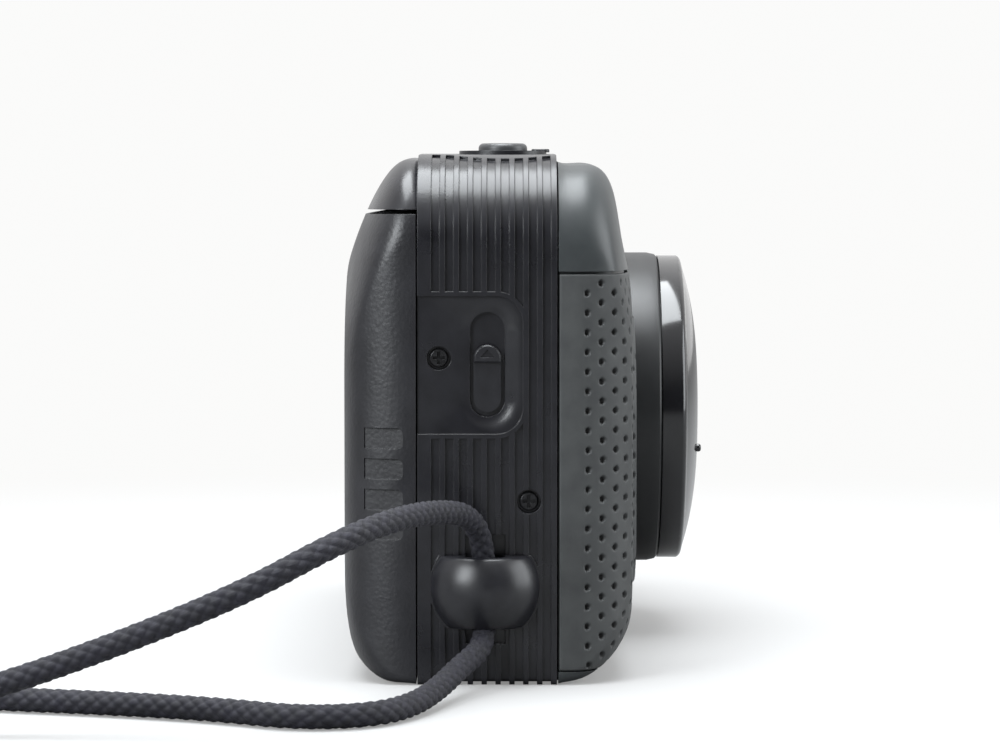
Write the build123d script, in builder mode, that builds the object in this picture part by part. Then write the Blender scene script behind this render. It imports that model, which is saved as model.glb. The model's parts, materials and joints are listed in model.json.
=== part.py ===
from build123d import *
import math
import os

# Compact zoom film camera with a wrist strap, standing on its base. Millimetres, +Z up.
# The lens looks along -Y, the grip and the door latch are on the -X side, the door hinge is on the +X side.
# The origin is the mouth of the tripod socket, in the flat base.

os.makedirs("parts", exist_ok=True)

# Driving dimensions of the casing
half_width = 63.0
body_top = 71.4
crown = 0.8
low_corner = 1.0
least_corner = 0.5
top_corner = 12.0
wall = 1.5
front_seam = -8.9
rear_seam = 9.95
seam_gap = 0.2
door_top = 63.6
cover_lip = 64.2

# Lens, film and hinge places
lens_x = 6.0
lens_z = 33.6
film_y = 11.5
hinge_x = 61.0
hinge_y = 12.15
hinge_r = 2.1
ear_w = 3.0
pin_r = 0.6
pin_play = 0.05

# Wrist cord
cord_d = 3.2
cord_r = cord_d / 2

forward = (0, -1, 0)

# Casing sections: depth, half width, bottom, top, lower corner radius, upper corner radius
door_sections = [
    (rear_seam, 63.0, 0.05, 70.5, 1.0, 12.0),
    (13.0, 62.9, 0.25, 70.1, 1.5, 12.0),
    (15.3, 62.2, 0.7, 67.3, 3.0, 13.0),
    (17.2, 61.1, 1.9, 63.7, 4.5, 14.0),
    (18.6, 59.7, 3.5, 60.4, 6.0, 15.0),
    (19.5, 57.9, 5.8, 57.9, 7.0, 15.0),
    (20.1, 55.0, 9.0, 55.2, 8.0, 15.0),
]
front_sections = [
    (front_seam, 63.0, 0.05, 70.5, 1.0, 12.0),
    (-12.5, 62.9, 0.8, 70.1, 2.0, 12.0),
    (-14.8, 62.2, 2.0, 69.6, 3.0, 12.5),
    (-16.3, 61.4, 3.2, 67.8, 4.0, 13.0),
    (-17.5, 60.3, 4.5, 63.2, 5.0, 13.5),
    (-18.5, 59.0, 6.0, 57.9, 6.0, 14.0),
    (-19.3, 57.4, 8.6, 53.6, 7.0, 14.0),
    (-19.9, 54.8, 12.6, 49.0, 8.0, 14.0),
]


def across(y):
    """A plane facing the front of the camera at depth y, with X to the right and Z up."""
    return Plane.XZ.offset(-y)


def beside(x):
    """A plane on the latch side at x, facing outwards, with -Y to the right and Z up."""
    return Plane(origin=(x, 0, 0), x_dir=(0, -1, 0), z_dir=(-1, 0, 0))


def outline(y, half, low, high, low_r, high_r, rise=crown):
    """One rounded section of the casing, flat below and slightly crowned on top."""
    with BuildSketch(across(y)) as section:
        with BuildLine():
            Line((-half, low), (half, low))
            Line((half, low), (half, high))
            ThreePointArc((half, high), (0, high + rise), (-half, high))
            Line((-half, high), (-half, low))
        make_face()
        fillet(section.vertices().group_by(Axis.Y)[0], low_r)
        fillet(section.vertices().group_by(Axis.Y)[-1], high_r)
    return section.sketch


def casing_outline(y, grow):
    """The middle casing's outline at depth y, grown outwards all round."""
    low_r = max(low_corner + grow, least_corner)
    return outline(y, half_width + grow, -grow, body_top + grow, low_r, top_corner + grow)


def inset(section, by, back):
    """The same section smaller all round by a wall, and moved towards the seam."""
    y, half, low, high, low_r, high_r = section
    toward = -back if y > 0 else back
    return (y + toward, half - by, low + by, high - by, max(low_r - by, 1.0), high_r - by)


def top_at(x):
    """Height of the crowned top above the base, at x."""
    return body_top + crown * (1 - (x / half_width) ** 2)


def save(part, label):
    part.label = label
    export_step(part, f"parts/{label}.step")


# Outer and inner forms of the door and the front shell
with BuildPart() as door_form:
    for row in door_sections:
        add(outline(*row))
    loft()

with BuildPart() as door_hollow:
    for row in door_sections[:1] + door_sections[2:-1]:
        add(outline(*inset(row, wall, 0 if row[0] == rear_seam else 1.1)))
    loft()

with BuildPart() as front_form:
    for row in front_sections:
        add(outline(*row))
    loft()

with BuildPart() as front_hollow:
    for row in front_sections[:1] + front_sections[2:-1]:
        add(outline(*inset(row, wall, 0 if row[0] == front_seam else 1.1)))
    loft()

# Side ribs: wide flat grooves round each end of the middle casing
groove_pitch = 1.88
groove_w = 1.15
groove_depth = 0.42
groove_count = 9
dial_x = -42.0
dial_y = -1.6
rib_end_r = 12.5

panel_y = -4.3
panel_low = 34.0
panel_high = 52.6
panel_corner = 3.6
panel_depth = 0.45
panel_lip = 0.6

lug_y = 0.8
lug_z = 13.3
lug_ring = 7.33
lug_low = 7.8
lug_top = 17.6

with BuildPart() as grooves:
    for step in range(groove_count):
        groove_y = (step - (groove_count - 1) / 2) * groove_pitch + groove_w / 2
        extrude(casing_outline(groove_y, 1), amount=groove_w, dir=forward)
    for step in range(groove_count):
        groove_y = (step - (groove_count - 1) / 2) * groove_pitch + groove_w / 2
        extrude(
            casing_outline(groove_y + 0.1, -groove_depth),
            amount=groove_w + 0.2,
            dir=forward,
            mode=Mode.SUBTRACT,
        )
    with BuildSketch(Plane.XY.offset(-2)):
        Rectangle(2 * (half_width - 5.5), 2 * half_width)
    extrude(amount=30, mode=Mode.SUBTRACT)
    with BuildSketch(Plane.XY.offset(20)):
        Rectangle(2 * (half_width - 13), 2 * half_width)
        for side in (-1, 1):
            with Locations((side * -dial_x, dial_y)):
                Circle(rib_end_r)
    extrude(amount=60, mode=Mode.SUBTRACT)
    with BuildSketch(beside(-half_width + 2)) as round_panel:
        with BuildLine():
            Polyline(
                (-rear_seam - 2, panel_low - panel_lip),
                (-panel_y + panel_lip, panel_low - panel_lip),
                (-panel_y + panel_lip, panel_high + panel_lip),
                (-rear_seam - 2, panel_high + panel_lip),
                close=True,
            )
        make_face()
        fillet(round_panel.vertices().group_by(Axis.X)[-1], panel_corner + panel_lip)
    extrude(amount=6, mode=Mode.SUBTRACT)
    with BuildSketch(beside(-half_width + 2)):
        with Locations((-lug_y, lug_z)):
            Circle(lug_ring + 0.25)
        with Locations((-lug_y, (lug_low + lug_top) / 2)):
            Rectangle(20, lug_top - lug_low, mode=Mode.INTERSECT)
    extrude(amount=6, mode=Mode.SUBTRACT)

# Places of the controls on the top, the windows and the screws
ring_r = 6.1
ring_floor = 70.9
button_r = 3.4
stem_r = 1.2
lcd_x = 6.0
lcd_y = 1.0
lcd_w = 24.0
lcd_h = 12.5
mode_xs = [-18.0, 26.0, 33.0]
mode_y = 1.0
mode_r = 2.1
power_x = 42.0
screw_sides = [(7.05, 44.25), (-5.1, 24.9)]
screw_head_r = 1.3
screw_hole_r = 1.63
screw_deep = 0.9
base_recess = 0.9
base_screws = [(-24.4, 6.6), (-24.4, -6.2), (34.6, 5.4), (52.0, -6.4)]
shank_r = 0.7
bush_r = 4.5
bush_h = 5.5
socket_r = 2.55
rewind_place = (20.0, 4.5)
rewind_r = 1.6

battery_x = -51.5
battery_y = -2.4
battery_r = 8.5
battery_low = 2.7
battery_h = 34.4
hatch_x0 = -60.0
hatch_x1 = -41.0
hatch_y0 = -11.9
hatch_y1 = 6.9
hatch_t = 1.4
hatch_low = 0.3
hatch_pin_y = 6.0
hatch_pin_z = 1.0
hatch_pin_r = 0.45

take_up_x = -31.2
take_up_y = 0.2
take_up_r = 11.0
chamber_x = 43.3
chamber_y = -1.5
chamber_r = 13.0
chamber_low = 10.0
chamber_high = 57.5

eyepiece_x = 16.0
eyepiece_z = 67.3
eyepiece_w = 11.0
eyepiece_h = 3.8
eyepiece_pocket = 12.6
top_inside = 69.4
pocket_half = 50.0

dish_w = 8.1
dish_low = 34.4
dish_high = 51.8
dish_depth = 0.55
dish_slope = 70.0
channel_w = 4.7
channel_low = 36.3
channel_high = 50.4
channel_y = 0.5
channel_floor = -61.4
slot_low = 39.35
slot_high = 45.65
pad_x = -60.2
slot_w = 2.4

tunnel_w = 5.4
tunnel_y = 0.8
tunnel_in = -61.6
tunnel_out = -65.8
tunnel_low = 5.6
tunnel_high = 20.4

# The top cover reaches back over the door
with BuildPart() as overhang:
    add(door_form.part)
    with BuildSketch(across(40)):
        with Locations((0, cover_lip / 2 - 5)):
            Rectangle(200, cover_lip + 10)
    extrude(amount=40, mode=Mode.SUBTRACT)
    with BuildSketch(across(eyepiece_pocket)):
        with Locations((0, (cover_lip + top_inside) / 2 + 0.7)):
            Rectangle(2 * pocket_half, top_inside - cover_lip - 1.4)
    extrude(amount=10, mode=Mode.SUBTRACT)
    with BuildSketch(across(25)):
        with Locations((eyepiece_x, eyepiece_z)):
            RectangleRounded(eyepiece_w, eyepiece_h, 0.8)
    extrude(amount=20, mode=Mode.SUBTRACT)

with BuildPart() as main_body:
    extrude(casing_outline(rear_seam, 0), amount=rear_seam - front_seam, dir=forward)
    extrude(
        casing_outline(rear_seam + 1, -wall),
        amount=rear_seam - front_seam + 2,
        dir=forward,
        mode=Mode.SUBTRACT,
    )
    add(overhang.part)
    # Hinge ear under the door
    with BuildSketch(Plane.XY.offset(0.5)):
        with Locations((hinge_x, hinge_y)):
            Circle(hinge_r)
        with Locations((hinge_x - hinge_r + ear_w / 2, rear_seam)):
            Rectangle(ear_w, 2 * (hinge_y - rear_seam))
    extrude(amount=2.5)
    # Pads that thicken the wall behind the latch and the lug
    with BuildSketch(beside(pad_x)):
        with Locations((-(rear_seam - 6) / 2, 43)):
            Rectangle(rear_seam + 6, 24)
        with Locations((-lug_y, 12)):
            Rectangle(14, 20.9)
    extrude(amount=wall + 0.2)
    add(grooves.part, mode=Mode.SUBTRACT)
    # Latch panel, dish and channel
    with BuildSketch(beside(-half_width + panel_depth)) as latch_panel:
        with BuildLine():
            Polyline(
                (-rear_seam - 0.2, panel_low),
                (-panel_y, panel_low),
                (-panel_y, panel_high),
                (-rear_seam - 0.2, panel_high),
                close=True,
            )
        make_face()
        fillet(latch_panel.vertices().group_by(Axis.X)[-1], panel_corner)
    extrude(amount=2, mode=Mode.SUBTRACT)
    with BuildSketch(beside(-half_width + panel_depth)):
        with Locations((-channel_y, (dish_low + dish_high) / 2)):
            SlotOverall(dish_high - dish_low, dish_w, rotation=90)
    extrude(amount=-dish_depth, taper=dish_slope, mode=Mode.SUBTRACT)
    with BuildSketch(beside(channel_floor)):
        with Locations((-channel_y, (channel_low + channel_high) / 2)):
            SlotOverall(channel_high - channel_low, channel_w, rotation=90)
    extrude(amount=3, mode=Mode.SUBTRACT)
    with BuildSketch(beside(pad_x + 0.1)):
        with Locations((-channel_y, (slot_low + slot_high) / 2)):
            Rectangle(slot_w, slot_high - slot_low)
    extrude(amount=2, mode=Mode.SUBTRACT)
    # Lug seat, cord channel and side screw recesses
    with BuildSketch(beside(-61.9)):
        with Locations((-tunnel_y, (tunnel_low + tunnel_high) / 2)):
            Rectangle(tunnel_w, tunnel_high - tunnel_low)
    extrude(amount=2, mode=Mode.SUBTRACT)
    with BuildSketch(beside(pad_x + 0.1)):
        with Locations((-lug_y, lug_z)):
            Circle(lug_ring - 0.5)
        with Locations((-lug_y, (lug_low + lug_top) / 2)):
            Rectangle(20, lug_top - lug_low, mode=Mode.INTERSECT)
    extrude(amount=4, mode=Mode.SUBTRACT)
    for screw_y, screw_z in screw_sides:
        with BuildSketch(beside(-half_width + screw_deep + panel_depth)):
            with Locations((-screw_y, screw_z)):
                Circle(screw_hole_r)
        extrude(amount=3, mode=Mode.SUBTRACT)
    with BuildSketch(Plane.XY.offset(body_top - 3)):
        with Locations((dial_x, dial_y)):
            Circle(stem_r + 0.05)
        with Locations((lcd_x, lcd_y)):
            RectangleRounded(lcd_w - 3, lcd_h - 3, 1.2)
        for mode_x in mode_xs:
            with Locations((mode_x, mode_y)):
                Circle(mode_r + 0.2)
        with Locations((power_x, mode_y)):
            Circle(mode_r + 1.0)
    extrude(amount=6, mode=Mode.SUBTRACT)
    with BuildSketch(Plane.XY.offset(body_top - 0.2)):
        with Locations((lcd_x, lcd_y)):
            RectangleRounded(lcd_w, lcd_h, 2)
    extrude(amount=4, mode=Mode.SUBTRACT)
    with BuildSketch(Plane.XY.offset(ring_floor)):
        with Locations((dial_x, dial_y)):
            Circle(ring_r + 0.25)
    extrude(amount=4, mode=Mode.SUBTRACT)
    # Base: tripod bush, battery hatch, rewind button and screw recesses
    with BuildSketch(Plane.XY.offset(-1)):
        Circle(bush_r)
        with Locations(((hatch_x0 + hatch_x1) / 2, (hatch_y0 + hatch_y1) / 2)):
            RectangleRounded(hatch_x1 - hatch_x0, hatch_y1 - hatch_y0, 2)
        with Locations(rewind_place):
            Circle(rewind_r + 0.1)
    extrude(amount=4, mode=Mode.SUBTRACT)
    with BuildSketch(Plane.XY.offset(-1)):
        with Locations(*base_screws):
            Circle(screw_hole_r)
    extrude(amount=1 + base_recess, mode=Mode.SUBTRACT)
    with BuildSketch(Plane.XY):
        with Locations(*base_screws):
            Circle(shank_r)
    extrude(amount=4, mode=Mode.SUBTRACT)
    with BuildSketch(beside(-50)):
        for screw_y, screw_z in screw_sides:
            with Locations((-screw_y, screw_z)):
                Circle(shank_r)
    extrude(amount=20, mode=Mode.SUBTRACT)
    with BuildSketch(beside(hatch_x1 + 1)):
        with Locations((-hatch_pin_y, hatch_pin_z)):
            Circle(hatch_pin_r)
    extrude(amount=hatch_x1 - hatch_x0 + 2, mode=Mode.SUBTRACT)
    # Hinge pin hole in the overhang and the ear
    with BuildSketch(Plane.XY):
        with Locations((hinge_x, hinge_y)):
            Circle(pin_r)
    extrude(amount=67, mode=Mode.SUBTRACT)
save(main_body.part, "main_body")

# Strap lug: a domed bridge over the cord's channel, seated in the wall
lug_ball_r = 7.87
lug_flange_x = -60.3
lug_rim_r = 0.8
with BuildPart() as strap_lug:
    with Locations((-half_width + lug_ball_r - 5.0, lug_y, lug_z)):
        Sphere(lug_ball_r)
    with BuildSketch(beside(-half_width)):
        Rectangle(60, 60)
    extrude(amount=-40, mode=Mode.SUBTRACT)
    with BuildSketch(beside(lug_flange_x)):
        with Locations((-lug_y, lug_z)):
            Circle(lug_ring - 0.55)
    extrude(amount=half_width + lug_flange_x)
    for low, high in ((-40, lug_low), (lug_top, 60)):
        with BuildSketch(Plane.XY.offset(low)):
            with Locations((-half_width, lug_y)):
                Rectangle(30, 30)
        extrude(amount=high - low, mode=Mode.SUBTRACT)
    rims = strap_lug.edges().filter_by(GeomType.CIRCLE).filter_by(lambda e: e.center().X < -half_width - 0.5)
    fillet(rims, lug_rim_r)
    with BuildSketch(Plane.XY.offset(-5)):
        with Locations(((tunnel_in + tunnel_out) / 2, tunnel_y)):
            RectangleRounded(tunnel_in - tunnel_out, tunnel_w, 1.6)
    extrude(amount=40, mode=Mode.SUBTRACT)
save(strap_lug.part, "strap_lug")

# Wrist cord: one loop that leaves the lug upwards and comes back into it from below
cord_route = [
    (-63.5, 0.8, 13.4),
    (-63.5, 0.85, 18.7),
    (-68.3, 2.7, 23.6),
    (-80.0, 6.9, 25.2),
    (-95.2, 12.6, 25.4),
    (-107.0, 19.5, 23.4),
    (-110.0, 30.0, 17.9),
    (-108.0, 46.0, 11.2),
    (-108.0, 62.0, 5.6),
    (-107.5, 78.0, 1.75),
    (-105.5, 94.0, 1.65),
    (-100.0, 108.0, 1.65),
    (-89.5, 114.9, 1.65),
    (-79.0, 111.0, 1.65),
    (-75.5, 98.0, 1.65),
    (-79.5, 83.0, 1.65),
    (-86.0, 67.0, 1.65),
    (-90.5, 50.0, 1.65),
    (-96.0, 35.0, 1.65),
    (-103.6, 23.8, 1.65),
    (-101.2, 14.5, 1.65),
    (-92.0, 9.6, 1.65),
    (-82.0, 6.6, 2.4),
    (-73.5, 4.0, 4.0),
    (-66.4, 1.4, 5.2),
    (-63.5, 0.8, 7.9),
    (-63.5, 0.8, 13.3),
]


def corner_radii(points):
    """The largest arc that each corner of a route allows."""
    spots = [Vector(*p) for p in points]
    radii = []
    for before, here, after in zip(spots, spots[1:], spots[2:]):
        turn = math.radians((here - before).get_angle(after - here))
        short = min((here - before).length, (after - here).length)
        radii.append(0.45 * short / math.tan(turn / 2))
    return radii


with BuildPart() as strap_cord:
    with BuildLine() as cord_line:
        FilletPolyline(*cord_route, radius=corner_radii(cord_route))
    with BuildSketch(Plane(origin=cord_route[0], x_dir=(1, 0, 0), z_dir=(0, 0, 1))):
        Circle(cord_r)
    sweep()
cord_length = sum(edge.length for edge in cord_line.edges())
print("cord radii", [round(r, 1) for r in corner_radii(cord_route)])
print("cord length", round(cord_length, 1))
print("cord volume over section times length", strap_cord.part.volume / (math.pi * cord_r**2 * cord_length))
save(strap_cord.part, "strap_cord")

# Rear door, its hinge, catch and pressure plate
knuckle_low = 3.6
knuckle_high = 63.3
notch_tops = [34.8, 30.65, 26.5, 22.5]
notch_h = 2.8
notch_w = 5.6
notch_turn = 18.1
catch_x = -59.8
catch_w = 0.8
catch_low = 35.0
catch_high = 37.9
film_window = (43.3, 34.3, 7.0, 24.0)
ridge_half = 56.5
ridge_y0 = 10.6
ridge_y1 = 15.2

with BuildPart() as door_cavity:
    add(door_hollow.part)
    with BuildSketch(across(40)):
        with Locations((0, door_top - wall + 20)):
            Rectangle(200, 40)
    extrude(amount=40, mode=Mode.SUBTRACT)

tilt = math.radians(notch_turn)
notch_plane = Plane(
    origin=(-61.8, 14.45, 0),
    x_dir=(-math.sin(tilt), -math.cos(tilt), 0),
    z_dir=(-math.cos(tilt), math.sin(tilt), 0),
)

with BuildPart() as rear_door:
    add(door_form.part)
    with BuildSketch(across(40)):
        with Locations((0, door_top + 20)):
            Rectangle(200, 40)
    extrude(amount=40, mode=Mode.SUBTRACT)
    with BuildSketch(across(rear_seam + seam_gap)):
        Rectangle(200, 200)
    extrude(amount=5, mode=Mode.SUBTRACT)
    add(door_cavity.part, mode=Mode.SUBTRACT)
    # Hinge edge: the wall in front of the pin gives way to a round knuckle
    with BuildSketch(Plane.XY.offset(-1)):
        with Locations((hinge_x, hinge_y - 5)):
            Rectangle(5.2, 10)
    extrude(amount=80, mode=Mode.SUBTRACT)
    with BuildSketch(Plane.XY.offset(-1)):
        with Locations((hinge_x, hinge_y)):
            Circle(hinge_r + 0.4)
    extrude(amount=1 + knuckle_low, mode=Mode.SUBTRACT)
    with BuildSketch(Plane.XY.offset(knuckle_low)):
        with Locations((hinge_x, hinge_y)):
            Circle(hinge_r)
    extrude(amount=knuckle_high - knuckle_low)
    with BuildSketch(Plane.XY.offset(-1)):
        with Locations((hinge_x, hinge_y)):
            Circle(pin_r + pin_play)
    extrude(amount=80, mode=Mode.SUBTRACT)
    # Ridge that shades the gap under the top cover
    with BuildSketch(Plane.XY.offset(door_top - 0.2)):
        with Locations((0, (ridge_y0 + ridge_y1) / 2)):
            Rectangle(2 * ridge_half, ridge_y1 - ridge_y0)
    extrude(amount=cover_lip - door_top)
    # Catch that reaches behind the latch tooth
    with BuildSketch(Plane.XY.offset(catch_low)):
        with Locations((catch_x + catch_w / 2, 9.3)):
            Rectangle(catch_w, 7.6)
        with Locations((-60.6, 12.0)):
            Rectangle(2.8, 3.0)
    extrude(amount=1.4)
    with BuildSketch(Plane.XY.offset(catch_low)):
        with Locations((catch_x + catch_w / 2, 4.8)):
            Rectangle(catch_w, 1.5)
    extrude(amount=catch_high - catch_low)
    # Finger notches
    for notch_top in notch_tops:
        with BuildSketch(notch_plane) as notch:
            with Locations((0, notch_top - notch_h / 2)):
                Rectangle(notch_w, notch_h)
            fillet(notch.vertices().group_by(Axis.X)[-1], 0.8)
        extrude(amount=4, mode=Mode.SUBTRACT)
    # Film window
    with BuildSketch(across(25)):
        with Locations((film_window[0], film_window[1])):
            RectangleRounded(film_window[2], film_window[3], 1.5)
    extrude(amount=10, mode=Mode.SUBTRACT)
save(rear_door.part, "rear_door")

with BuildPart() as film_window_pane:
    with BuildSketch(across(20.0)):
        with Locations((film_window[0], film_window[1])):
            RectangleRounded(film_window[2], film_window[3], 1.5)
    extrude(amount=1.2)
save(film_window_pane.part, "film_window_pane")

plate_back = 13.0
with BuildPart() as pressure_plate:
    with BuildSketch(across(plate_back)):
        with Locations((lens_x, lens_z)):
            RectangleRounded(46, 34.5, 2)
    extrude(amount=1.0)
    chamfer(pressure_plate.faces().sort_by(Axis.Y)[0].edges(), 0.3)
save(pressure_plate.part, "pressure_plate")

door_inner = 17.75
with BuildPart() as plate_spring:
    for spring_x in (-12.0, 12.0):
        with BuildSketch(Plane.XY.offset(lens_z - 6)):
            with BuildLine():
                Polyline(
                    (lens_x + spring_x - 7, door_inner + 0.6),
                    (lens_x + spring_x - 7, door_inner + 0.2),
                    (lens_x + spring_x, plate_back),
                    (lens_x + spring_x + 7, door_inner + 0.2),
                    (lens_x + spring_x + 7, door_inner + 0.6),
                    (lens_x + spring_x, plate_back + 0.4),
                    close=True,
                )
            make_face()
        extrude(amount=12)
save(plate_spring.part, "plate_spring")

with BuildPart() as door_hinge_pin:
    with BuildSketch(Plane.XY.offset(0.8)):
        with Locations((hinge_x, hinge_y)):
            Circle(pin_r)
    extrude(amount=64.2)
save(door_hinge_pin.part, "door_hinge_pin")

# Front shell and its rubber grip
grip_layer = 0.8
grip_top = 55.6
grip_low = 1.9
collar_r = 23.7
collar_play = 0.05
front_tilt = 12.0
fascia_mid = (15.0, 3.2)
fascia_size = (84.0, 8.2)
fascia_t = 1.2
flash_place = (45.0, 3.2)
flash_size = (17.0, 6.4)
finder_place = (16.0, 3.2)
finder_size = (12.0, 6.2)
af_places = [(-4.0, 3.2), (-14.0, 3.2)]
af_r = 2.7
meter_place = (29.0, 3.2)
meter_r = 1.6
lamp_place = (-22.0, 3.2)
lamp_r = 1.5


def slanted(out):
    """The leaning upper front, moved outwards by out, with X to the right."""
    lean = math.radians(front_tilt)
    face = Plane(
        origin=(0, -18.0, 60.5), x_dir=(1, 0, 0), z_dir=(0, -math.cos(lean), math.sin(lean))
    )
    return face.offset(out)


with BuildPart() as grip_core:
    for row in front_sections[:-1]:
        add(outline(*inset(row, grip_layer, 0 if row[0] == front_seam else 0.6)))
    loft()

with BuildPart() as rubber_grip:
    with BuildSketch(across(front_seam - seam_gap)):
        with BuildLine():
            Polyline(
                (-70, grip_low),
                (-38, grip_low),
                (-35.5, 30),
                (-38.5, grip_top),
                (-70, grip_top),
                close=True,
            )
        make_face()
    extrude(amount=20)
    add(front_form.part, mode=Mode.INTERSECT)
    add(grip_core.part, mode=Mode.SUBTRACT)
save(rubber_grip.part, "rubber_grip")

with BuildPart() as grip_pocket:
    with BuildSketch(across(front_seam + 1)):
        with BuildLine():
            Polyline(
                (-70, grip_low - 0.1),
                (-37.9, grip_low - 0.1),
                (-35.4, 30),
                (-38.4, grip_top + 0.3),
                (-70, grip_top + 0.3),
                close=True,
            )
        make_face()
    extrude(amount=20)
    add(grip_core.part, mode=Mode.SUBTRACT)

with BuildPart() as front_shell:
    add(front_form.part)
    with BuildSketch(across(front_seam + 5)):
        Rectangle(200, 200)
    extrude(amount=5 + seam_gap, mode=Mode.SUBTRACT)
    add(front_hollow.part, mode=Mode.SUBTRACT)
    add(grip_pocket.part, mode=Mode.SUBTRACT)
    with BuildSketch(across(0)):
        with Locations((lens_x, lens_z)):
            Circle(collar_r)
    extrude(amount=30, mode=Mode.SUBTRACT)
    with BuildSketch(slanted(-fascia_t)):
        with Locations(fascia_mid):
            RectangleRounded(*fascia_size, 2.5)
    extrude(amount=5, mode=Mode.SUBTRACT)
    with BuildSketch(slanted(-8)):
        with Locations(finder_place):
            Rectangle(*finder_size)
        with Locations(flash_place):
            Rectangle(*flash_size)
        with Locations(*af_places):
            Circle(af_r)
        with Locations(meter_place):
            Circle(meter_r)
        with Locations(lamp_place):
            Circle(lamp_r)
    extrude(amount=10, mode=Mode.SUBTRACT)
    with BuildSketch(Plane.XY.offset(-1)):
        with Locations(((hatch_x0 + hatch_x1) / 2, (hatch_y0 + hatch_y1) / 2)):
            RectangleRounded(hatch_x1 - hatch_x0, hatch_y1 - hatch_y0, 2)
    extrude(amount=5, mode=Mode.SUBTRACT)
save(front_shell.part, "front_shell")

with BuildPart() as front_fascia:
    with BuildSketch(slanted(-fascia_t)):
        with Locations(fascia_mid):
            RectangleRounded(fascia_size[0] - 0.2, fascia_size[1] - 0.2, 2.4)
        with Locations(finder_place):
            RectangleRounded(*finder_size, 0.6, mode=Mode.SUBTRACT)
        with Locations(flash_place):
            RectangleRounded(*flash_size, 0.6, mode=Mode.SUBTRACT)
        with Locations(*af_places):
            Circle(af_r, mode=Mode.SUBTRACT)
        with Locations(meter_place):
            Circle(meter_r, mode=Mode.SUBTRACT)
        with Locations(lamp_place):
            Circle(lamp_r, mode=Mode.SUBTRACT)
    extrude(amount=fascia_t + 0.1)
save(front_fascia.part, "front_fascia")

# Windows and lamps set in the fascia
pane_t = 1.0
pane_play = 0.05
with BuildPart() as viewfinder_window:
    with BuildSketch(slanted(-pane_t - 0.2)):
        with Locations(finder_place):
            RectangleRounded(finder_size[0] - 2 * pane_play, finder_size[1] - 2 * pane_play, 0.6)
    extrude(amount=pane_t)
save(viewfinder_window.part, "viewfinder_window")

with BuildPart() as flash_window:
    with BuildSketch(slanted(-pane_t)):
        with Locations(flash_place):
            RectangleRounded(flash_size[0] - 2 * pane_play, flash_size[1] - 2 * pane_play, 0.6)
    extrude(amount=pane_t + 0.2)
save(flash_window.part, "flash_window")

with BuildPart() as focus_windows:
    with BuildSketch(slanted(-pane_t - 0.1)):
        with Locations(*af_places):
            Circle(af_r - pane_play)
    extrude(amount=pane_t)
save(focus_windows.part, "focus_windows")

with BuildPart() as light_sensor:
    with BuildSketch(slanted(-pane_t - 0.1)):
        with Locations(meter_place):
            Circle(meter_r - pane_play)
    extrude(amount=pane_t)
save(light_sensor.part, "light_sensor")

with BuildPart() as self_timer_lamp:
    with BuildSketch(slanted(-pane_t)):
        with Locations(lamp_place):
            Circle(lamp_r - pane_play)
    extrude(amount=pane_t + 0.1)
save(self_timer_lamp.part, "self_timer_lamp")

# Lens: fixed collar and guide tube, two telescoping barrels, front bezel with its blades
collar_front = -25.1
collar_back = -16.6
guide_r = 22.9
tube_inner = 21.7
chassis_front = 9.5
mid_r = 21.4
mid_inner = 20.3
mid_front = -26.9
mid_back = -0.5
front_r = 20.0
front_inner = 18.7
front_back = -3.5
bezel_r = 23.2
bezel_back = -27.4
bezel_band = -28.1
bezel_round = (22.85, -28.6)
bezel_edge = (22.2, -28.8)
bezel_bulge = (16.1, -30.35)
bezel_face = -31.1
skirt_r = mid_r + 0.25
skirt_back = collar_front - 0.15
pocket_y = -28.75
pip_at = (-11.2, -5.6)
pip_r = 0.6
pip_root = -30.2
pip_tip = -31.5
pip_round = 0.35
aperture_r = 8.4
pocket_r = 19.0
blade_y = -28.4
blade_t = 0.5
blade_pivot = (-13.6, 2.0)
blade_r = 9.4
lens_r = 9.2


def ring(front, back, outer, inner):
    """A tube along the lens axis from depth front to depth back."""
    with BuildPart() as tube:
        with BuildSketch(across(back)):
            with Locations((lens_x, lens_z)):
                Circle(outer)
                if inner:
                    Circle(inner, mode=Mode.SUBTRACT)
        extrude(amount=back - front)
    return tube


def turned(points, close=True):
    """A ring revolved about the lens axis from (radius, depth) points."""
    with BuildPart() as body:
        with BuildSketch(Plane(origin=(lens_x, 0, lens_z), x_dir=(1, 0, 0), z_dir=(0, 0, 1))):
            with BuildLine():
                Polyline(*points, close=close)
            make_face()
        revolve(axis=Axis((lens_x, 0, lens_z), (0, 1, 0)))
    return body


lens_collar = turned(
    [
        (tube_inner, collar_back),
        (tube_inner, collar_front + 0.3),
        (tube_inner + 0.3, collar_front),
        (collar_r - 0.6, collar_front),
        (collar_r - 0.3, collar_front + 0.3),
        (collar_r - collar_play, collar_front + 1.5),
        (collar_r - collar_play, collar_back),
    ]
)
save(lens_collar.part, "lens_collar")

lens_guide_tube = ring(collar_back, chassis_front, guide_r, tube_inner)
save(lens_guide_tube.part, "lens_guide_tube")
zoom_barrel_middle = ring(mid_front, mid_back, mid_r, mid_inner)
save(zoom_barrel_middle.part, "zoom_barrel_middle")
zoom_barrel_front = ring(bezel_back, front_back, front_r, front_inner)
save(zoom_barrel_front.part, "zoom_barrel_front")

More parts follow.
